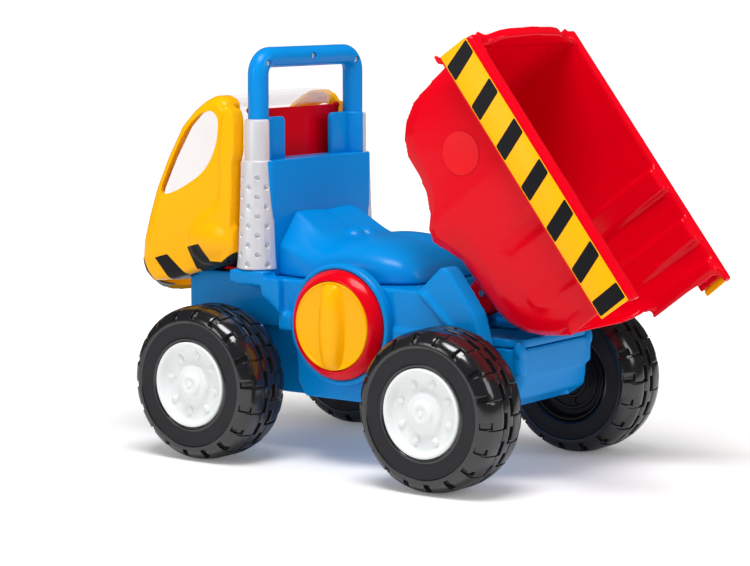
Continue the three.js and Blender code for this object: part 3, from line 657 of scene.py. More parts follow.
class TRUCK_OT_wheel_backs(bpy.types.Operator):
    """Black inner discs with ring steps and screw holes, seen on the inner side of each wheel"""

    bl_idname = "truck.wheel_backs"
    bl_label = "Wheel backs"

    def execute(self, context):
        model = turned([
            (3.4, 99), (3.4, 84.6), (6.0, 84.2), (8.6, 84.2), (9.2, 86.0), (10.6, 88.6), (14.4, 89.2),
            (15.4, 88.2), (17.2, 88.2), (18.0, 89.4), (24.6, 90.0), (25.6, 88.6), (27.6, 88.6), (28.6, 89.8),
            (32.0, 90.0), (33.6, 88.0), (34.6, 84.2), (35.4, 83.4), (36.8, 83.4), (37.0, 86.0), (37.0, 93.0),
            (14.0, 93.0), (10.0, 99)], (0, 0), steps=72)
        wells = [rod((21.3 * math.cos(a), 21.3 * math.sin(a)), "y", (84, 91.4), 2.6, sides=20)
                 for a in (math.tau * (k + 0.25) / 6 for k in range(6))]
        model = cut(model, *wells)
        for end, side, x in wheel_parts():
            hand_over(stand_wheel(model, end, side, x), f"wheel_back_{end}_{side}", "black_abs",
                      f"{end}_wheelset", f"{end}_{side}_wheel_back", slot="trim_black", smooth=35)
        bpy.data.objects.remove(model)
        return {"FINISHED"}


# ---- tipping knob ----
class TRUCK_OT_knobs(bpy.types.Operator):
    """Yellow knobs with a tapered grip, in a red ring on a round blue housing"""

    bl_idname = "truck.knobs"
    bl_label = "Knobs"

    def execute(self, context):
        centre = (KNOB_X, KNOB_Z)
        dial = turned([
            (0, 80.5), (36.6, 80.5), (37.7, 82), (37.7, 95.6), (37.4, 96.3), (36.8, 96.5), (36.1, 96.2),
            (35.5, 95.5), (33.0, 95.1), (0, 94.8)], centre, steps=96)
        # The grip is a bar with hollowed flanks, wider at its lower end.
        profile = [(-19, 92), (-15, 94.4), (-12.4, 97.6), (-9.6, 101.2), (-6, 103.0), (0, 103.5),
                   (6, 103.0), (9.6, 101.2), (12.4, 97.6), (15, 94.4), (19, 92)]
        rings = []
        for z, wide, low in (
            (-37.2, 0.66, 0.34), (-34.6, 0.7, 0.72), (-29, 0.78, 0.92), (-20, 0.9, 1.0), (0, 1.0, 1.0),
            (20, 0.84, 1.0), (29, 0.7, 0.92), (33.6, 0.62, 0.7), (36.4, 0.56, 0.3),
        ):
            rings.append([(KNOB_X + a * wide, 92 + (b - 92) * low, KNOB_Z + z) for a, b in profile])
        grip = skin(rings)
        modify(grip, "SUBSURF", levels=2, render_levels=2)
        dial = joined(dial, grip)
        ring = turned([
            (38.2, 84.0), (46.9, 84.0), (47.1, 86.6), (46.7, 88.2), (45.3, 90.3), (43.0, 92.8), (41.0, 94.7),
            (39.7, 95.5), (38.8, 95.7), (38.3, 95.3)], centre, steps=96)
        housing = turned([
            (39.0, 78.3), (52.6, 78.3), (52.4, 83.4), (51.6, 85.4), (50.2, 86.4), (48.6, 86.4), (47.6, 85.6),
            (47.4, 83.6), (39.0, 83.6)], centre, steps=96)
        for piece, name, finish, body, part, slot in (
            (dial, "knob", "yellow_abs", "knob_drive", "knob", "yellow_plastic"),
            (ring, "knob_ring", "red_abs", "truck_body", "knob_bezel", "red_plastic"),
            (housing, "knob_housing", "blue_abs", "truck_body", "knob_housing", "blue_plastic"),
        ):
            hand_over_both(piece, name, finish, body, part, slot=slot, smooth=40)
        return {"FINISHED"}


# ---- exhaust stacks ----
class TRUCK_OT_stacks(bpy.types.Operator):
    """Silver half-round exhaust stacks with staggered dimples and a plain sleeve above"""

    bl_idname = "truck.stacks"
    bl_label = "Exhaust stacks"

    def execute(self, context):
        stack = turned([
            (0, 163.2), (19.0, 163.2), (19.6, 164.0), (19.2, 167.0), (18.6, 174.0), (18.0, 184.0),
            (17.2, 204.0), (16.5, 224.0), (15.9, 244.0), (15.6, 255.4), (15.1, 256.8), (14.0, 257.4),
            (12.4, 257.6), (12.3, 258.4), (12.2, 290.8), (11.6, 292.4), (10.2, 293.0), (0, 293.0)],
            (STACK_X, STACK_Y), axis="z", steps=96)
        dimples = []
        for column in range(6):
            a = math.radians(11 + 28.4 * column)
            for row in range(5):
                z = 243.0 - 16.7 * row - (8.35 if column % 2 else 0)
                radius = 15.6 + 3.1 * (255 - z) / 90
                bpy.ops.object.select_all(action="DESELECT")
                bpy.ops.mesh.primitive_cone_add(vertices=20, radius1=1.7, radius2=3.3, depth=3.6)
                dimple = context.object
                out = Vector((math.cos(a), math.sin(a), 0))
                turn = out.to_track_quat("Z", "Y").to_matrix().to_4x4()
                dimple.data.transform(
                    Matrix.Translation(Vector((STACK_X, STACK_Y, z)) + out * (radius - 0.5)) @ turn)
                dimples.append(dimple)
        stack = cut(stack, joined(*dimples))
        stack = cut(stack, block((190, 250), (STACK_Y + 0.3, 110), (150, 300)), operation="INTERSECT")
        soften(stack, 0.25, 2, 40)
        hand_over_both(stack, "stack", "silver_abs", "truck_body", "exhaust_stack", slot="silver_plastic")
        return {"FINISHED"}


# ---- carrying handle ----
def handle_tube(radius, sides=40):
    """Rings of points up one leg, round its corner, across and down the other leg."""
    bend = 15.0
    half = [(STACK_Y, 262.0), (STACK_Y, 300.0)]
    half += arc(STACK_Y - bend, HANDLE_TOP_Z - bend, bend, 0, 90, 10) + [(20.0, HANDLE_TOP_Z)]
    path = [Vector(p) for p in half + [(-y, z) for y, z in reversed(half)]]
    rings = []
    for k, spot in enumerate(path):
        along = (path[min(k + 1, len(path) - 1)] - path[max(k - 1, 0)]).normalized()
        ring = []
        for i in range(sides):
            a = math.tau * (i + 0.5) / sides
            across = radius * math.cos(a)
            ring.append((
                STACK_X + radius * math.sin(a), spot.x - along.y * across, spot.y + along.x * across))
        rings.append(ring)
    return skin(rings)


HANDLE_SCREWS = (("left", 63.4, 341.0), ("centre", 0.0, HANDLE_TOP_Z), ("right", -63.4, 341.0))


class TRUCK_OT_handle(bpy.types.Operator):
    """The round carrying handle, two half shells held by screws in wells"""

    bl_idname = "truck.handle"
    bl_label = "Carrying handle"

    def execute(self, context):
        for half, span in (("rear", (200, STACK_X - 0.12)), ("front", (STACK_X + 0.12, 250))):
            shell = cut(handle_tube(9.0), block(span, (-100, 100), (250, 370)), operation="INTERSECT")
            if half == "rear":
                wells = [rod((y, z), "x", (200, STACK_X - 4.0), 3.3, sides=24) for _, y, z in HANDLE_SCREWS]
                shell = cut(shell, *wells)
            soften(shell, 0.35, 2, 40)
            hand_over(shell, f"handle_{half}_shell", "blue_abs", "truck_body", f"handle_{half}_half",
                      slot="blue_plastic")
        profile = [(0, -5.6), (2.9, -5.6), (2.95, -7.0), (2.4, -7.9), (1.2, -8.3), (0, -8.4)]
        long, short = (-2.1, 2.1), (-0.42, 0.42)
        for side, y, z in HANDLE_SCREWS:
            cross = [block(short, (-9, -7.1), long), block(long, (-9, -7.1), short)]
            head = cut(turned(profile, (0, 0)), *cross)
            head.data.transform(
                Matrix.Translation((STACK_X + 0.9, y, z)) @ Matrix.Rotation(-math.pi / 2, 4, "Z"))
            hand_over(head, f"handle_screw_head_{side}", "bright_nickel", "truck_body",
                      f"handle_screw_{side}", slot="steel")
        return {"FINISHED"}


# ---- headboard ----
HEADBOARD_HALF = [
    (199.3, 0.0), (204.5, 66.0), *arc(211.5, 68.0, 7.0, 178, 92, 6), (232.0, 75.2), (233.4, 73.8)]


def mirrored(points):
    """A half outline about the middle, from its first point, which lies there, and back."""
    return points + [(x, -y) for x, y in reversed(points[1:])]


class TRUCK_OT_headboard(bpy.types.Operator):
    """The wall behind the cab, slightly creased down its middle, with a post for each leg of the handle"""

    bl_idname = "truck.headboard"
    bl_label = "Headboard"

    def execute(self, context):
        wall = plate(mirrored(HEADBOARD_HALF), "z", (BODY_TOP_Z + 0.3, HEADBOARD_TOP_Z + 1.2))
        for corner in wall.data.vertices:
            if corner.co.z > 200:
                corner.co.z -= 1.4 * abs(corner.co.y) / 76
        soften(wall, 1.5, 4, 40)
        posts = []
        for side in (1, -1):
            seat = rod((STACK_X, side * STACK_Y), "z", (150, 258.4), 19.5, 15.5, sides=96)
            outside = sorted((side * (STACK_Y + 0.2), side * 110))
            wall = cut(wall, cut(seat, block((190, 250), outside, (140, 270)), operation="INTERSECT"))
            post = soften(rod((STACK_X, side * STACK_Y), "z", (250, 294), 11.6), 1.6, 4)
            outside = sorted((side * (STACK_Y + 0.1), side * 110))
            post = cut(post, block((190, 250), outside, (240, 300)))
            corners = [(side * y, z) for y, z in ((33.5, 250), (62, 250), (62, 294), (33.5, 294))]
            flange = soften(plate(rounded(corners, 5), "x", (219.2, 224.8)), 1.6, 4)
            posts += [post, flange]
        wall = joined(wall, *posts)
        hand_over(wall, "headboard_wall", "blue_abs", "truck_body", "headboard", slot="blue_plastic",
                  smooth=32)
        return {"FINISHED"}


# ---- body ----
WALL = 2.8
KEEL = [
    (-42, PARTING_Z), (-42, 88), (-36, 70), (-22, 60), (30, 56), (200, 54), (294, 58), (303, 72),
    (303, PARTING_Z)]
BELLY = [(70, PARTING_Z), (72, 70), (80, 57), (164, 57), (172, 70), (174, PARTING_Z)]
CHASSIS_SCREWS = [(-24, 38), (-24, -38), (286, 44), (286, -44)]


def open_at(outline_points, limit, level):
    """Moves the part of an outline beyond a limit out to a level, so that a hollow opens there."""
    return [(a, level if (b > limit) == (level > limit) else b) for a, b in outline_points]


class TRUCK_OT_chassis(bpy.types.Operator):
    """Lower half of the body, a rounded tub with a wider belly and round snap bosses at the rear"""

    bl_idname = "truck.chassis"
    bl_label = "Lower chassis"

    def execute(self, context):
        keel = plate(KEEL, "y", (-56, 56))
        keel = cut(keel, plate(round_plan((-42, 303), 56, 14), "z", (40, PARTING_Z)), operation="INTERSECT")
        bosses = [rod((-37.5, side * 50.5), "z", (90, PARTING_Z - 0.2), 5.6, sides=24) for side in (1, -1)]
        tub = cast(joined(keel, plate(BELLY, "y", (-78, 78)), *bosses), 1.6, 5)
        inner = plate(open_at(inset(KEEL, WALL), 108, 120), "y", (WALL - 56, 56 - WALL))
        inner = cut(inner, plate(round_plan((WALL - 42, 303 - WALL), 56 - WALL, 11), "z", (40, 130)),
                    operation="INTERSECT")
        tub = cut(tub, inner, plate(open_at(inset(BELLY, WALL), 108, 120), "y", (WALL - 78, 78 - WALL)))
        tub = cut(tub, *[rod((x, WHEEL_RADIUS), "y", (-90, 90), 6.1, sides=32) for x in (0, WHEELBASE)])
        tub = cut(tub, *[rod(spot, "z", (40, 80), 4.4, sides=24) for spot in CHASSIS_SCREWS])
        inside = []
        for x, y in CHASSIS_SCREWS:
            foot = 62.4 if x < 0 else 59.0
            post = [(4.4, foot), (6, foot), (6, 111.6), (2, 111.6), (2, 66), (4.4, 66)]
            inside.append(turned(post, (x, y), axis="z", steps=24))
        ring = [(6.1, 44), (11, 44), (11, 54.5), (6.1, 54.5)]
        inside += [both_sides(turned(ring, (x, WHEEL_RADIUS), steps=32)) for x in (0, WHEELBASE)]
        inside += [ball((-38.6, side * 52.2, PARTING_Z - 1.5), (5.2, 5.2, 8.6), 32, 20) for side in (1, -1)]
        tub = joined(tub, *inside)
        hand_over(tub, "chassis_tub", "blue_abs", "truck_body", "lower_chassis", slot="blue_plastic",
                  smooth=40)
        return {"FINISHED"}


class TRUCK_OT_body(bpy.types.Operator):
    """Upper half of the body, with the shoulders beside the bonnet and the arches over the front wheels"""

    bl_idname = "truck.body"
    bl_label = "Upper body"

    def execute(self, context):
        base = PARTING_Z + 0.35
        top = BODY_TOP_Z - 0.1
        main = plate([(60, base), (188, base), (188, top), (60, top)], "y", (-78, 78))
        front = plate([(180, base), (303, base), (303, 148), (298, top), (180, top)], "y", (-66, 66))
        deck = cut(plate([(-42, base), (66, base), (66, 120), (-42, 120)], "y", (-56, 56)),
                   plate(round_plan((-42, 90), 56, 14), "z", (100, 130)), operation="INTERSECT")
        parts = [main, front, deck]
        arch = rod((WHEELBASE, WHEEL_RADIUS), "y", (50, 90), 84, sides=96)
        shoulder = [(-20, base), (70, base), (70, top), (46, top), (40, 161.5), (22, 178.2), (18, 178.6),
                    (13.5, 175), (-12, 141)]
        half = [
            plate(shoulder, "y", (60, 79)),
            plate([(42, 155), (36.5, 155), (10, 131), (15.5, 131)], "y", (70, 81.6)),
            plate([(-14, base), (84, base), (84, 123.5), (-9, 123.5)], "y", (70, 80.8)),
            plate([(186, base), (206, base), (206, top), (186, top)], "y", (60, 86.5)),
            plate([(176, base), (190, base), (190, 127), (176, 127)], "y", (70, 82.5)),
            plate([(200, 150), (241.5, 150), (241.5, top), (200, top)], "y", (60, 86.5)),
            plate([(203, 150), (241.5, 150), (241.5, 162.4), (203, 162.4)], "y", (76.5, 86.5)),
            rod((STACK_X, STACK_Y), "z", (150, 162.8), 19.0, sides=64),
        ]
        for k in (3, 5, 6, 7):
            half[k] = cut(half[k], copied(arch))
        half[7] = cut(half[7], block((190, 250), (40, STACK_Y + 0.3), (140, 170)))
        bpy.data.objects.remove(arch)
        parts += half + [twin(piece) for piece in half]
        body = cast(joined(*parts), 1.6, 5)

        def hollow(points, span):
            return plate(open_at(inset(points, WALL), base + WALL + 1, 100), "y", span)

        body = cut(
            body,
            hollow([(60, base), (188, base), (188, top), (60, top)], (WALL - 78, 78 - WALL)),
            hollow([(180, base), (303, base), (303, 148), (298, top), (180, top)], (WALL - 66, 66 - WALL)),
            hollow([(-42, base), (66, base), (66, 120), (-42, 120)], (WALL - 53, 53 - WALL)),
            block((72, 172), (-50, 50), (150, 170)),
            rod((HINGE_X, HINGE_Z), "y", (-8, 8), 52.5, sides=64),
            rod((KNOB_X, KNOB_Z), "y", (-90, 90), 8.1, sides=40))
        ears = []
        for side in (1, -1):
            span = sorted((side * 20, side * 27))
            ear = plate([(36, 118), (58, 118)] + arc(HINGE_X, HINGE_Z, 10, 0, 180, 16), "y", span)
            ear = cut(ear, rod((HINGE_X, HINGE_Z), "y", (-40, 40), 3.3, sides=32))
            ears.append(soften(ear, 0.8, 3, 40))
        for x, y in CHASSIS_SCREWS:
            head = 117.6 if x < 0 else 155
            ears.append(turned([(2, base), (6, base), (6, head), (2, head)], (x, y), axis="z", steps=24))
        body = joined(body, *ears)
        hand_over(body, "body_upper", "blue_abs", "truck_body", "upper_body", slot="blue_plastic",
                  smooth=40)
        return {"FINISHED"}


# From the rear to the headboard: x, half width, ridge height above the body top and half
# width of the flat top.
BONNET = [
    (66.5, 42, 7, 0), (69, 48, 15, 0), (73, 53, 20.5, 0), (79, 58, 26, 0), (88, 62.5, 30.2, 0),
    (100, 66, 33.6, 0), (116, 69, 36, 0), (134, 70, 36.6, 0), (148, 69.5, 35, 0.05), (157, 69, 34, 0.1),
    (166, 68.4, 36.4, 0.25),
    (176, 67, 41.6, 0.45), (188, 65, 48.6, 0.56), (200, 62.5, 54.6, 0.6), (210, 61, 57.4, 0.6),
]


def bonnet_form(narrower, bottom):
    """The bonnet as one skin: an oval roof section that becomes a flat top with sloping sides."""
    rings = []
    for x, half, height, flat in through(BONNET, 4):
        ring = [(x, half - narrower, bottom), (x, narrower - half, bottom)]
        for k in range(49):
            t = math.pi - k * math.pi / 48
            c, s = math.cos(t), math.sin(t)
            y = math.copysign(abs(c) ** (2 / 3.1), c)
            z = s ** (2 / 3.1)
            # Toward the headboard a flat top meets sloping sides in soft edges.
            side = max(0.0, 1 - abs(y) ** 6) ** (1 / 6)
            slope = 1 - max(0.0, abs(y) - 0.64) * 1.55
            boxy = min(1, flat / 0.6)
            level = z * (1 - boxy) + min(side, slope) * boxy
            crease = 0.7 * max(0.0, 1 - abs(y) * half / 1.6)
            rise = 2 + level * (height - 2 - narrower)
            ring.append((x, y * (half - narrower), BODY_TOP_Z + rise - crease))
        rings.append(ring)
    return skin(rings)


class TRUCK_OT_bonnet(bpy.types.Operator):
    """The engine cover: a rounded dome that climbs to a flat top against the headboard"""

    bl_idname = "truck.bonnet"
    bl_label = "Bonnet"

    def execute(self, context):
        form = bonnet_form(0, BODY_TOP_Z + 0.5)
        scoops = [ball((163, side * 9, 189.5), (11, 10, 8)) for side in (1, -1)]
        form = cast(joined(form, *scoops), 1.3, 3)
        inner = bonnet_form(WALL, BODY_TOP_Z - 5)
        inner = cut(inner, block((60, 70), (-90, 90), (100, 300)))
        wall = [(x - 0.3 if x < 220 else x + 9, y) for x, y in mirrored(HEADBOARD_HALF)]
        form = cut(form, inner, plate(wall, "z", (150, 300)), block((60, 100), (-8, 8), (150, 167.5)))
        hand_over(form, "bonnet_cover", "blue_abs", "truck_body", "bonnet", slot="blue_plastic", smooth=40)
        return {"FINISHED"}


# ---- cab ----
CAB_SIDE = [
    (241.5, 168), (241.5, 286), (243, 300), (248, 309), (256, 312.5), (264, 312), (274, 307.5),
    (286, 299.5), (301, 285), (318, 257), (332, 229), (341.5, 203), (348, 179), (349.5, 161), (346, 152),
    (336, 144), (312, 147)]
# Half width, reach of the nose beyond the side outline, drop of the chin, and how far the roof
# and the rear edge are drawn in.
CAB_STATIONS = [
    (84, -14, 0, 9), (82.5, -8, 0, 4.5), (79, -3, 0, 1.5), (74, 0, 0, 0), (60, 6, 8, 0), (40, 10, 15, 0),
    (0, 13, 19, 0)]
SIDE_WINDOW = [
    (262, 299), (254.5, 290), (258, 268), (271, 247), (296, 231), (316, 224), (321, 229), (311, 250),
    (294, 279), (277, 295)]
GLAZING = [
    (225, 300), (258, 299), (280, 287), (300, 262), (318, 230), (331, 206), (366, 214), (345, 300),
    (280, 335), (225, 335)]
# The raised column behind the side window, which widens into a cheek at its foot.
REAR_COLUMN = [
    (241.8, 167), (240, 200), (238.8, 230), (238, 256), (235.2, 262), (235, 292), (237, 300), (241, 303),
    (247, 299), (250.5, 280), (251, 240), (252, 222), (258, 212), (270, 207), (281, 199), (287, 187),
    (284, 174), (272, 166), (256, 164)]
CAB_STRIPES = (
    ((328.5, 166.5), (314.5, 170.5), (292, 153.5), (309, 146)),
    ((290.5, 178.5), (274.5, 182.5), (262, 168), (279, 159)),
    ((352, 158), (346, 166), (330, 140), (342, 136)),
    # The fourth outline is no stripe: it lays the black film over the lower rear corner of the cab, under the
    # cheek.
    ((277, 160.5), (262, 168), (249, 168), (236, 178), (236, 152), (278, 150)),
)


def cab_form(grow):
    """The cab as one skin of side outlines that bulge forward toward its middle."""
    rings = []
    rows = through(CAB_STATIONS, 3)
    for side, stations in ((-1, rows), (1, rows[-2::-1])):
        for half, nose, chin, drawn in stations:
            ring = []
            for x, z in inset(CAB_SIDE, -grow) if grow else CAB_SIDE:
                forward = max(0.0, (x - 241.5) / 108)
                low = max(0.0, (x - 300) / 50) * max(0.0, (200 - z) / 50)
                lift = -drawn if z > 200 else drawn * 0.6
                ring.append((x + nose * forward + (drawn * 0.4 if x < 249.5 else 0),
                             side * (half + grow if half > 0 else 0), z + lift - chin * min(1, low)))
            rings.append(ring)
    return skin(rings)


def swollen(piece, distance):
    """A copy of a piece with its whole surface moved out along its normals."""
    return modify(copied(piece), "DISPLACE", strength=distance, mid_level=0.0)


class TRUCK_OT_cab(bpy.types.Operator):
    """The yellow cab shell with its windows, lamps, grille, black stripes and clear roof"""

    bl_idname = "truck.cab"
    bl_label = "Cab"

    def execute(self, context):
        cheeks = []
        for side in (1, -1):
            cheek = ball((260, side * 79, 186), (27, 11, 22), 48, 24)
            cheeks.append(cut(cheek, block((200, 238), (-120, 120), (100, 300))))
            column = plate(rounded(REAR_COLUMN, 5), "y", sorted((side * 66, side * 86.8)))
            cheeks.append(soften(column, 2.6, 4, 60))
        form = cast(joined(cab_form(0), *cheeks), 1.6, 8)
        film = cut(swollen(form, 0.45), swollen(form, -0.6))
        bars = []
        for stripe in CAB_STRIPES:
            prism = plate(rounded(stripe, 1.2), "y", (50, 110))
            bars.append(cut(copied(film), prism, operation="INTERSECT"))
        bpy.data.objects.remove(film)
        hand_over(both_sides(joined(*bars)), "cab_stripe_film", "stripe_film", "truck_body",
                  slot="trim_black")
        for name, prism in (
            ("grille", block((320, 400), (-34, 34), (150, 196))),
            ("lamp", rod((54, 176), "x", (300, 400), 12, sides=64)),
        ):
            detail = cut(swollen(form, 2.2 if name == "grille" else 3.0), prism, operation="INTERSECT")
            detail = cut(detail, swollen(form, 0.1))
            if name == "grille":
                slots = [block((320, 400), (-29, 29), (z, z + 2.6)) for z in (156, 163, 170, 177, 184)]
                detail = soften(cut(detail, *slots), 0.3, 2, 40)
                hand_over(detail, "nose_grille", "black_abs", "truck_body", "front_grille",
                          slot="trim_black")
            else:
                hand_over_both(soften(detail, 1.2, 4, 40), "lamp", "white_pp", "truck_body", "headlight",
                               slot="hub_white")
        window = plate(smooth_closed(SIDE_WINDOW, 6), "y", (-110, 110))
        inner = cab_form(-WALL)
        rear = block((220, 246), (-72.4, 72.4), (100, 309))
        floor = plate([(244, 140), (300, 120), (345, 120), (345, 150), (244, 200)], "y", (-77, 77))
        glass = cut(swollen(form, -0.15), cab_form(-WALL))
        glass = cut(glass, plate(inset(GLAZING, 0.5), "y", (-63.5, 63.5)), operation="INTERSECT")
        glass = cut(glass, block((220, 248), (-100, 100), (280, 340)))
        tray = soften(block((236.2, 262), (-56, 56), (301.9, 314.6)), 2.6, 4)
        tray = cut(tray, block((238.6, 270), (-53.4, 53.4), (296, 312.4)))
        hand_over(glass, "windscreen", "clear_ps", "truck_body", "cab_glazing", slot="clear_plastic")
        hand_over(tray, "roof_tray", "clear_ps", "truck_body", slot="clear_plastic")
        form = cut(form, inner, rear, floor, window, plate(GLAZING, "y", (-64, 64)))
        form = soften(form, 0.9, 3, 50)
        hand_over(form, "cab_cover", "yellow_abs", "truck_body", "cab_shell", slot="yellow_plastic",
                  smooth=40)

        wall = soften(block((234.3, 237.5), (-64, 64), (158.5, 300.5)), 1.2, 4)
        seats = [
            soften(block((236.3, 322), (-60, 60), (158.2, 161)), 0.8, 3),
            soften(block((240, 268), (-50, 50), (160, 187)), 3.0, 5),
            soften(block((240, 250), (-50, 50), (184, 232)), 3.0, 5),
        ]
        nubs = [ball((236.4, side * 62, 299.4), (3.2, 3.2, 3.2)) for side in (1, -1)]
        wall = joined(wall, *seats, *nubs)
        hand_over(wall, "cab_rear_wall", "red_abs", "truck_body", "cab_interior", slot="red_plastic")
        return {"FINISHED"}


# ---- bucket ----
BUCKET_TAIL = [(0, 0), (-1.5, -31), (0.5, -47), (8, -80), (12, -93)]
BUCKET_FLOOR = [
    (21, -107), (32, -119), (48, -129), (64, -133), (112, -132), (126, -134.5), (137.5, -137.5),
    (148, -133), (158, -123.5), (173, -116), (190, -112.5), (207, -112), (220.5, -106), (229.5, -97.5),
    (239, -80), (242, -51)]
# Half width, and how far the floor has risen there, of the tail and of the deeper front.
BUCKET_STATIONS = [
    ((73.5, 130), (73.5, 130)), ((72.6, 112), (73.2, 112)), ((70.6, 74), (72.8, 74)), ((67.5, 24), (72, 24)),
    ((63.5, 10), (70.5, 4)), ((56, 3.5), (66.5, -7)), ((50, 1), (60, -2)), ((45, 0), (45, 0))]
FLANGE = [(70.5, 0), (78, 0.4), (80.6, -2), (86, -34), (83.4, -34.5), (78.4, -4.5), (73.4, -3.5), (70.5, -5)]
# Ribs across the side walls, as spans along the rim and how far down they reach.
WALL_RIBS = ((86, 105, -86), (35, 54.5, -88), (-6, 13, -74))


def bucket_skin(points, narrower, highest):
    rings = []
    for side, stations in ((-1, BUCKET_STATIONS), (1, BUCKET_STATIONS[::-1])):
        for tail, front in stations:
            ring = []
            for u, w in points:
                forward = min(1, max(0, (u - 100) / 45))
                half, rise = (a + (b - a) * forward for a, b in zip(tail, front))
                corner = min(rise, 24) * 0.5 if u > 200 and w < 5 else 0
                room = max(0, -126 - w) if half < 50 and w < -100 and 95 < u < 165 else 0
                up = min(w + rise + room, max(w, highest)) if w < -1 else w
                ring.append((u - corner, side * (half - narrower), up))
            rings.append(ring)
    return skin(rings)


def capsule(u, low, high):
    """An upright slot outline with a round lower end."""
    mid, r = (u[0] + u[1]) / 2, (u[1] - u[0]) / 2
    return [(u[1], high), (u[0], high)] + arc(mid, low + r, r, 180, 360, 12)


class TRUCK_OT_bucket(bpy.types.Operator):
    """The tipping bucket: a thin shell with ribbed walls, a rolled rim and hanging side flanges"""

    bl_idname = "truck.bucket"
    bl_label = "Bucket"

    def execute(self, context):
        wall = 2.6
        points = BUCKET_TAIL + BUCKET_FLOOR + [(247, 0)]
        outer = bucket_skin(points, 0, -4)
        inner = inset(points, wall)
        hollow = bucket_skin(
            [(-25, 20), (-25, -90.5), (14, -90.5)] + inner[len(BUCKET_TAIL):-1] + [(244, 20)], wall, -1.4)
        channels, ribs = [], []
        for low, high, depth in WALL_RIBS:
            for side in (1, -1):
                channels.append(
                    plate(capsule((low, high), depth, -20), "y", sorted((side * 68.7, side * 90))))
                ribs.append(plate(capsule((low - 1.5, high + 1.5), depth - 1.5, -2), "y",
                                  sorted((side * 65.0, side * 69.3))))
        shell = cut(outer, hollow, *channels)
        ribs = ribs[:4] + [cut(rib, block((-30, 3), (-90, 90), (-100, 0))) for rib in ribs[4:]]
        flange = cut(plate(FLANGE, "x", (-8, 248)), block((-20, -1), (60, 100), (-60, -7)))
        flange = both_sides(flange)
        lip = [
            (-75, -8), (-75, 0.6), (-70, 0.6), (-64, -2.6), (-58, -2.0), (-50, 3.0), (-42, 6.4), (-30, 8.0),
            (0, 9.2)]
        lip = plate(lip + [(-y, w) for y, w in reversed(lip[:-1])], "x", (238.5, 247.8))
        nubs = [rod((side * 84, -36), "x", (244, 252), 2.2, sides=20) for side in (1, -1)]
        arms = []
        for side in (1, -1):
            shape = [(92 + a, -187.8 + b) for a, b in
                     arc(0, 0, 9.5, 180, 360, 14) + [(16, 48), (16, 58), (-24, 58), (-24, 50)]]
            arms.append(plate(shape, "y", sorted((side * 10, side * 15))))
        shell = cast(joined(shell, flange, lip, *ribs, *nubs, *arms), 1.75, 4)
        shell = cut(
            shell, rod((BUCKET_HINGE_U, BUCKET_HINGE_W), "y", (-40, 40), 3.3, sides=32),
            rod((BUCKET_HINGE_U, BUCKET_HINGE_W + 30), "y", (-40, 40), 3.1, sides=32))
        hand_over(shell, "bucket_shell", "red_abs", "bucket_body", "bucket", slot="red_plastic",
                  place=TIPPED, smooth=45)
        return {"FINISHED"}


class TRUCK_OT_bands(bpy.types.Operator):
    """Yellow film with slanted black stripes on the hanging face of each rim flange"""

    bl_idname = "truck.bands"
    bl_label = "Warning bands"

    def execute(self, context):
        pitch = context.scene.truck_sizes.stripe_pitch * 1000
        lean, half_height = 10.0, 13.6
        edge = [(247.8, half_height), (-6, half_height), (-6, -half_height), (247.8, -half_height)]
        film = soften(plate(rounded(edge, 1.4), "y", (0.0, 0.5)), 0.15, 2)
        film = joined(film, soften(block((-6, -1.4), (-1.5, 0.4), (-half_height, half_height)), 0.2, 2))
        bars = []
        for k in range(7):
            front = 247.6 - pitch * k
            slant = min(lean, front - 9.6)
            corners = [(front, half_height - 0.6), (front - 14.2, half_height - 0.6),
                       (front - 14.2 - slant, 0.6 - half_height), (front - slant, 0.6 - half_height)]
            corners = [(min(max(u, -4.2), 246.0), h) for u, h in corners]
            bars.append(soften(plate(rounded(corners, 1.6), "y", (0.3, 0.72)), 0.12, 1))
        lay = Matrix.Translation((0, 83.7, -18)) @ Matrix.Rotation(math.atan2(5.4, 32), 4, "X")
        ink = joined(*bars)
        for piece in (film, ink):
            piece.data.transform(lay)
        hand_over_both(film, "warning_film", "band_film", "bucket_body", "hazard_band",
                       slot="band_yellow", place=TIPPED, smooth=30)
        hand_over_both(ink, "warning_stripes", "stripe_film", "bucket_body",
                       slot="trim_black", place=TIPPED, smooth=30)
        return {"FINISHED"}


class TRUCK_OT_badges(bpy.types.Operator):
    """Plain round film badges on the bucket walls"""

    bl_idname = "truck.badges"
    bl_label = "Badges"

    def execute(self, context):
        badge = turned([(0, -0.2), (18, -0.2), (18.1, 0.1), (17.7, 0.3), (17.2, 0.22), (0, 0.22)], (0, 0))
        badge.data.transform(Matrix.Translation((179, 72.8, -70)) @ Matrix.Rotation(-0.014, 4, "X"))
        hand_over_both(badge, "badge", "badge_film", "bucket_body", "bucket_badge",
                       slot="badge_red", place=TIPPED)
        return {"FINISHED"}


class TRUCK_OT_inner_parts(bpy.types.Operator):
    """Steel and nylon finishes for the shafts, screws, bushes and gears inside"""

    bl_idname = "truck.inner_parts"
    bl_label = "Inner parts"

    def execute(self, context):
        screws = [f"chassis_screw_{k}" for k in range(1, 5)]
        bushes = [f"{shaft}_bush_{side}" for shaft in ("knob", "rear_axle", "front_axle")
                  for side in ("left", "right")]
        for finish, names in (
            ("steel", ("rear_axle", "front_axle", "knob_shaft", "bucket_pivot_pin", "sector_dowel", *screws)),
            ("nylon", ("sector_gear", "pinion", *bushes)),
        ):
            for name in names:
                for material_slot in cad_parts[name].material_slots:
                    material_slot.material = finish_of(finish)
        return {"FINISHED"}


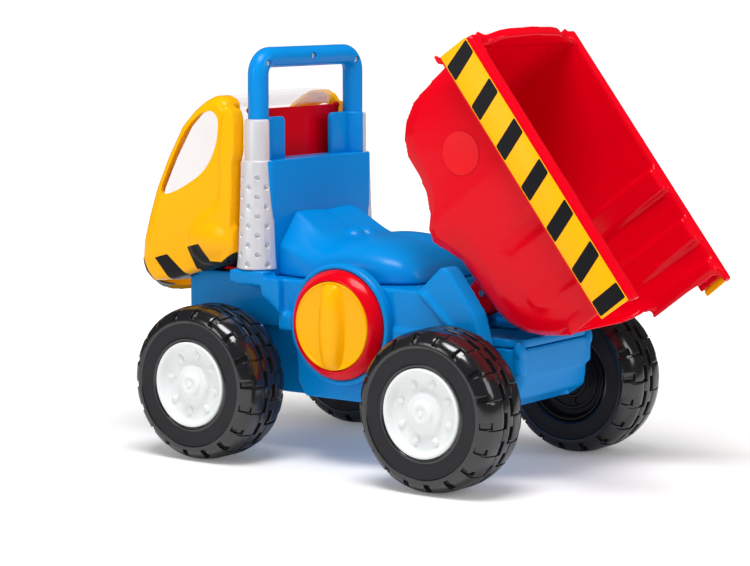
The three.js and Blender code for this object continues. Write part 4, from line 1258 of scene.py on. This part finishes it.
# ---- stage ----
class TRUCK_OT_stage(bpy.types.Operator):
    """Pale floor, large soft lamps and the camera"""

    bl_idname = "truck.stage"
    bl_label = "Stage"

    def execute(self, context):
        scene = context.scene
        scene.view_settings.view_transform = "Standard"
        bpy.ops.object.select_all(action="DESELECT")
        bpy.ops.mesh.primitive_plane_add(size=9)
        floor = context.object
        floor.name = "floor"
        material, tree, shader = new_material("pale_paper")
        place = node(tree, "ShaderNodeTexCoord").outputs["Object"]
        fibre = node(tree, "ShaderNodeTexNoise", [("Vector", place)], Scale=220.0, Detail=3.0)
        bump = node(tree, "ShaderNodeBump", [("Height", fibre.outputs["Fac"])],
                    Strength=0.02, Distance=0.0005)
        tree.links.new(bump.outputs["Normal"], shader.inputs["Normal"])
        shader.inputs["Base Color"].default_value = (0.9, 0.9, 0.9, 1)
        shader.inputs["Roughness"].default_value = 0.6
        # The paper gets a painted glow that is weak near the model and grows away from it, so that it fades
        # into the backdrop; glossy rays see no glow.
        reach = node(tree, "ShaderNodeVectorMath", [(0, place)], operation="LENGTH")
        fade = node(tree, "ShaderNodeMapRange", [("Value", reach.outputs["Value"])])
        for key, value in (("From Min", 0.35), ("From Max", 1.1), ("To Min", 0.16), ("To Max", 0.7)):
            fade.inputs[key].default_value = value
        path = node(tree, "ShaderNodeLightPath")
        dim = node(tree, "ShaderNodeMapRange", [("Value", path.outputs["Is Glossy Ray"])])
        dim.inputs["To Min"].default_value = 1.0
        dim.inputs["To Max"].default_value = 0.0
        glow = node(tree, "ShaderNodeMath", [(0, fade.outputs["Result"]), (1, dim.outputs["Result"])],
                    operation="MULTIPLY")
        tree.links.new(glow.outputs["Value"], shader.inputs["Emission Strength"])
        shader.inputs["Emission Color"].default_value = (1, 1, 1, 1)
        floor.data.materials.append(material)

        world = bpy.data.worlds.new("studio")
        scene.world = world
        world.use_nodes = True
        # A white backdrop that lights the model softly and shows only dimly in its gloss.
        tree = world.node_tree
        sky = tree.nodes["Background"]
        path = node(tree, "ShaderNodeLightPath")
        straight = node(tree, "ShaderNodeMapRange", [("Value", path.outputs["Is Camera Ray"])])
        straight.inputs["To Min"].default_value = 0.47
        straight.inputs["To Max"].default_value = 1.05
        gloss = node(
            tree, "ShaderNodeMath", [(0, path.outputs["Is Glossy Ray"]), (2, straight.outputs["Result"])],
            operation="MULTIPLY_ADD")
        gloss.inputs[1].default_value = -0.42
        tree.links.new(gloss.outputs["Value"], sky.inputs["Strength"])
        sky.inputs["Color"].default_value = (1, 1, 1, 1)

        def lamp(name, spot, target, size, power):
            data = bpy.data.lights.new(name, "AREA")
            data.shape, data.size, data.size_y, data.energy = "RECTANGLE", size[0], size[1], power
            made = bpy.data.objects.new(name, data)
            scene.collection.objects.link(made)
            made.location = spot
            made.rotation_euler = (Vector(target) - Vector(spot)).to_track_quat("-Z", "Y").to_euler()

        lamp("key_softbox", (-0.3, 0.7, 2.1), (0, 0, 0.15), (1.1, 0.8), 38)
        lamp("rear_softbox", (-1.9, -0.5, 1.1), (0, 0, 0.15), (0.7, 1.0), 7)
        lamp("side_softbox", (0.9, 2.0, 0.9), (0, 0, 0.15), (0.5, 0.8), 5)

        camera = bpy.data.cameras.new("camera")
        seat = bpy.data.objects.new("camera", camera)
        scene.collection.objects.link(seat)
        camera.lens, camera.sensor_width = scene.truck_sizes.lens, 36
        camera.clip_end = 20
        azimuth, elevation = math.radians(216.32), math.radians(7.07)
        back = Vector((math.sin(azimuth) * math.cos(elevation), -math.cos(azimuth) * math.cos(elevation),
                       math.sin(elevation)))
        seat.location = PLACE @ Vector((-1141.5, 1752.3, 418.2))
        seat.rotation_euler = back.to_track_quat("Z", "Y").to_euler()
        scene.camera = seat
        return {"FINISHED"}


class TRUCK_PT_panel(bpy.types.Panel):
    """Sizes, colours and the steps that build the truck"""

    bl_label = "Toy dump truck"
    bl_space_type = "VIEW_3D"
    bl_region_type = "UI"
    bl_category = "Truck"

    def draw(self, context):
        for group in (context.scene.truck_sizes, context.scene.truck_colours):
            box = self.layout.box()
            for key in group.__annotations__:
                box.prop(group, key)
        for step in STEPS:
            self.layout.operator(step.bl_idname)


STEPS = (
    TRUCK_OT_tyres, TRUCK_OT_hubs, TRUCK_OT_wheel_backs, TRUCK_OT_knobs, TRUCK_OT_stacks, TRUCK_OT_handle,
    TRUCK_OT_headboard, TRUCK_OT_chassis, TRUCK_OT_body, TRUCK_OT_bonnet, TRUCK_OT_cab, TRUCK_OT_bucket,
    TRUCK_OT_bands, TRUCK_OT_badges, TRUCK_OT_inner_parts, TRUCK_OT_stage)
CLASSES = (TruckSizes, TruckColours, *STEPS, TRUCK_PT_panel)


def register():
    for made in CLASSES:
        bpy.utils.register_class(made)
    bpy.types.Scene.truck_sizes = PointerProperty(type=TruckSizes)
    bpy.types.Scene.truck_colours = PointerProperty(type=TruckColours)


def unregister():
    del bpy.types.Scene.truck_sizes, bpy.types.Scene.truck_colours
    for made in reversed(CLASSES):
        bpy.utils.unregister_class(made)


def main():
    register()
    for step in STEPS:
        area, name = step.bl_idname.split(".")
        getattr(getattr(bpy.ops, area), name)()
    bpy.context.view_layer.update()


if __name__ == "__main__":
    main()
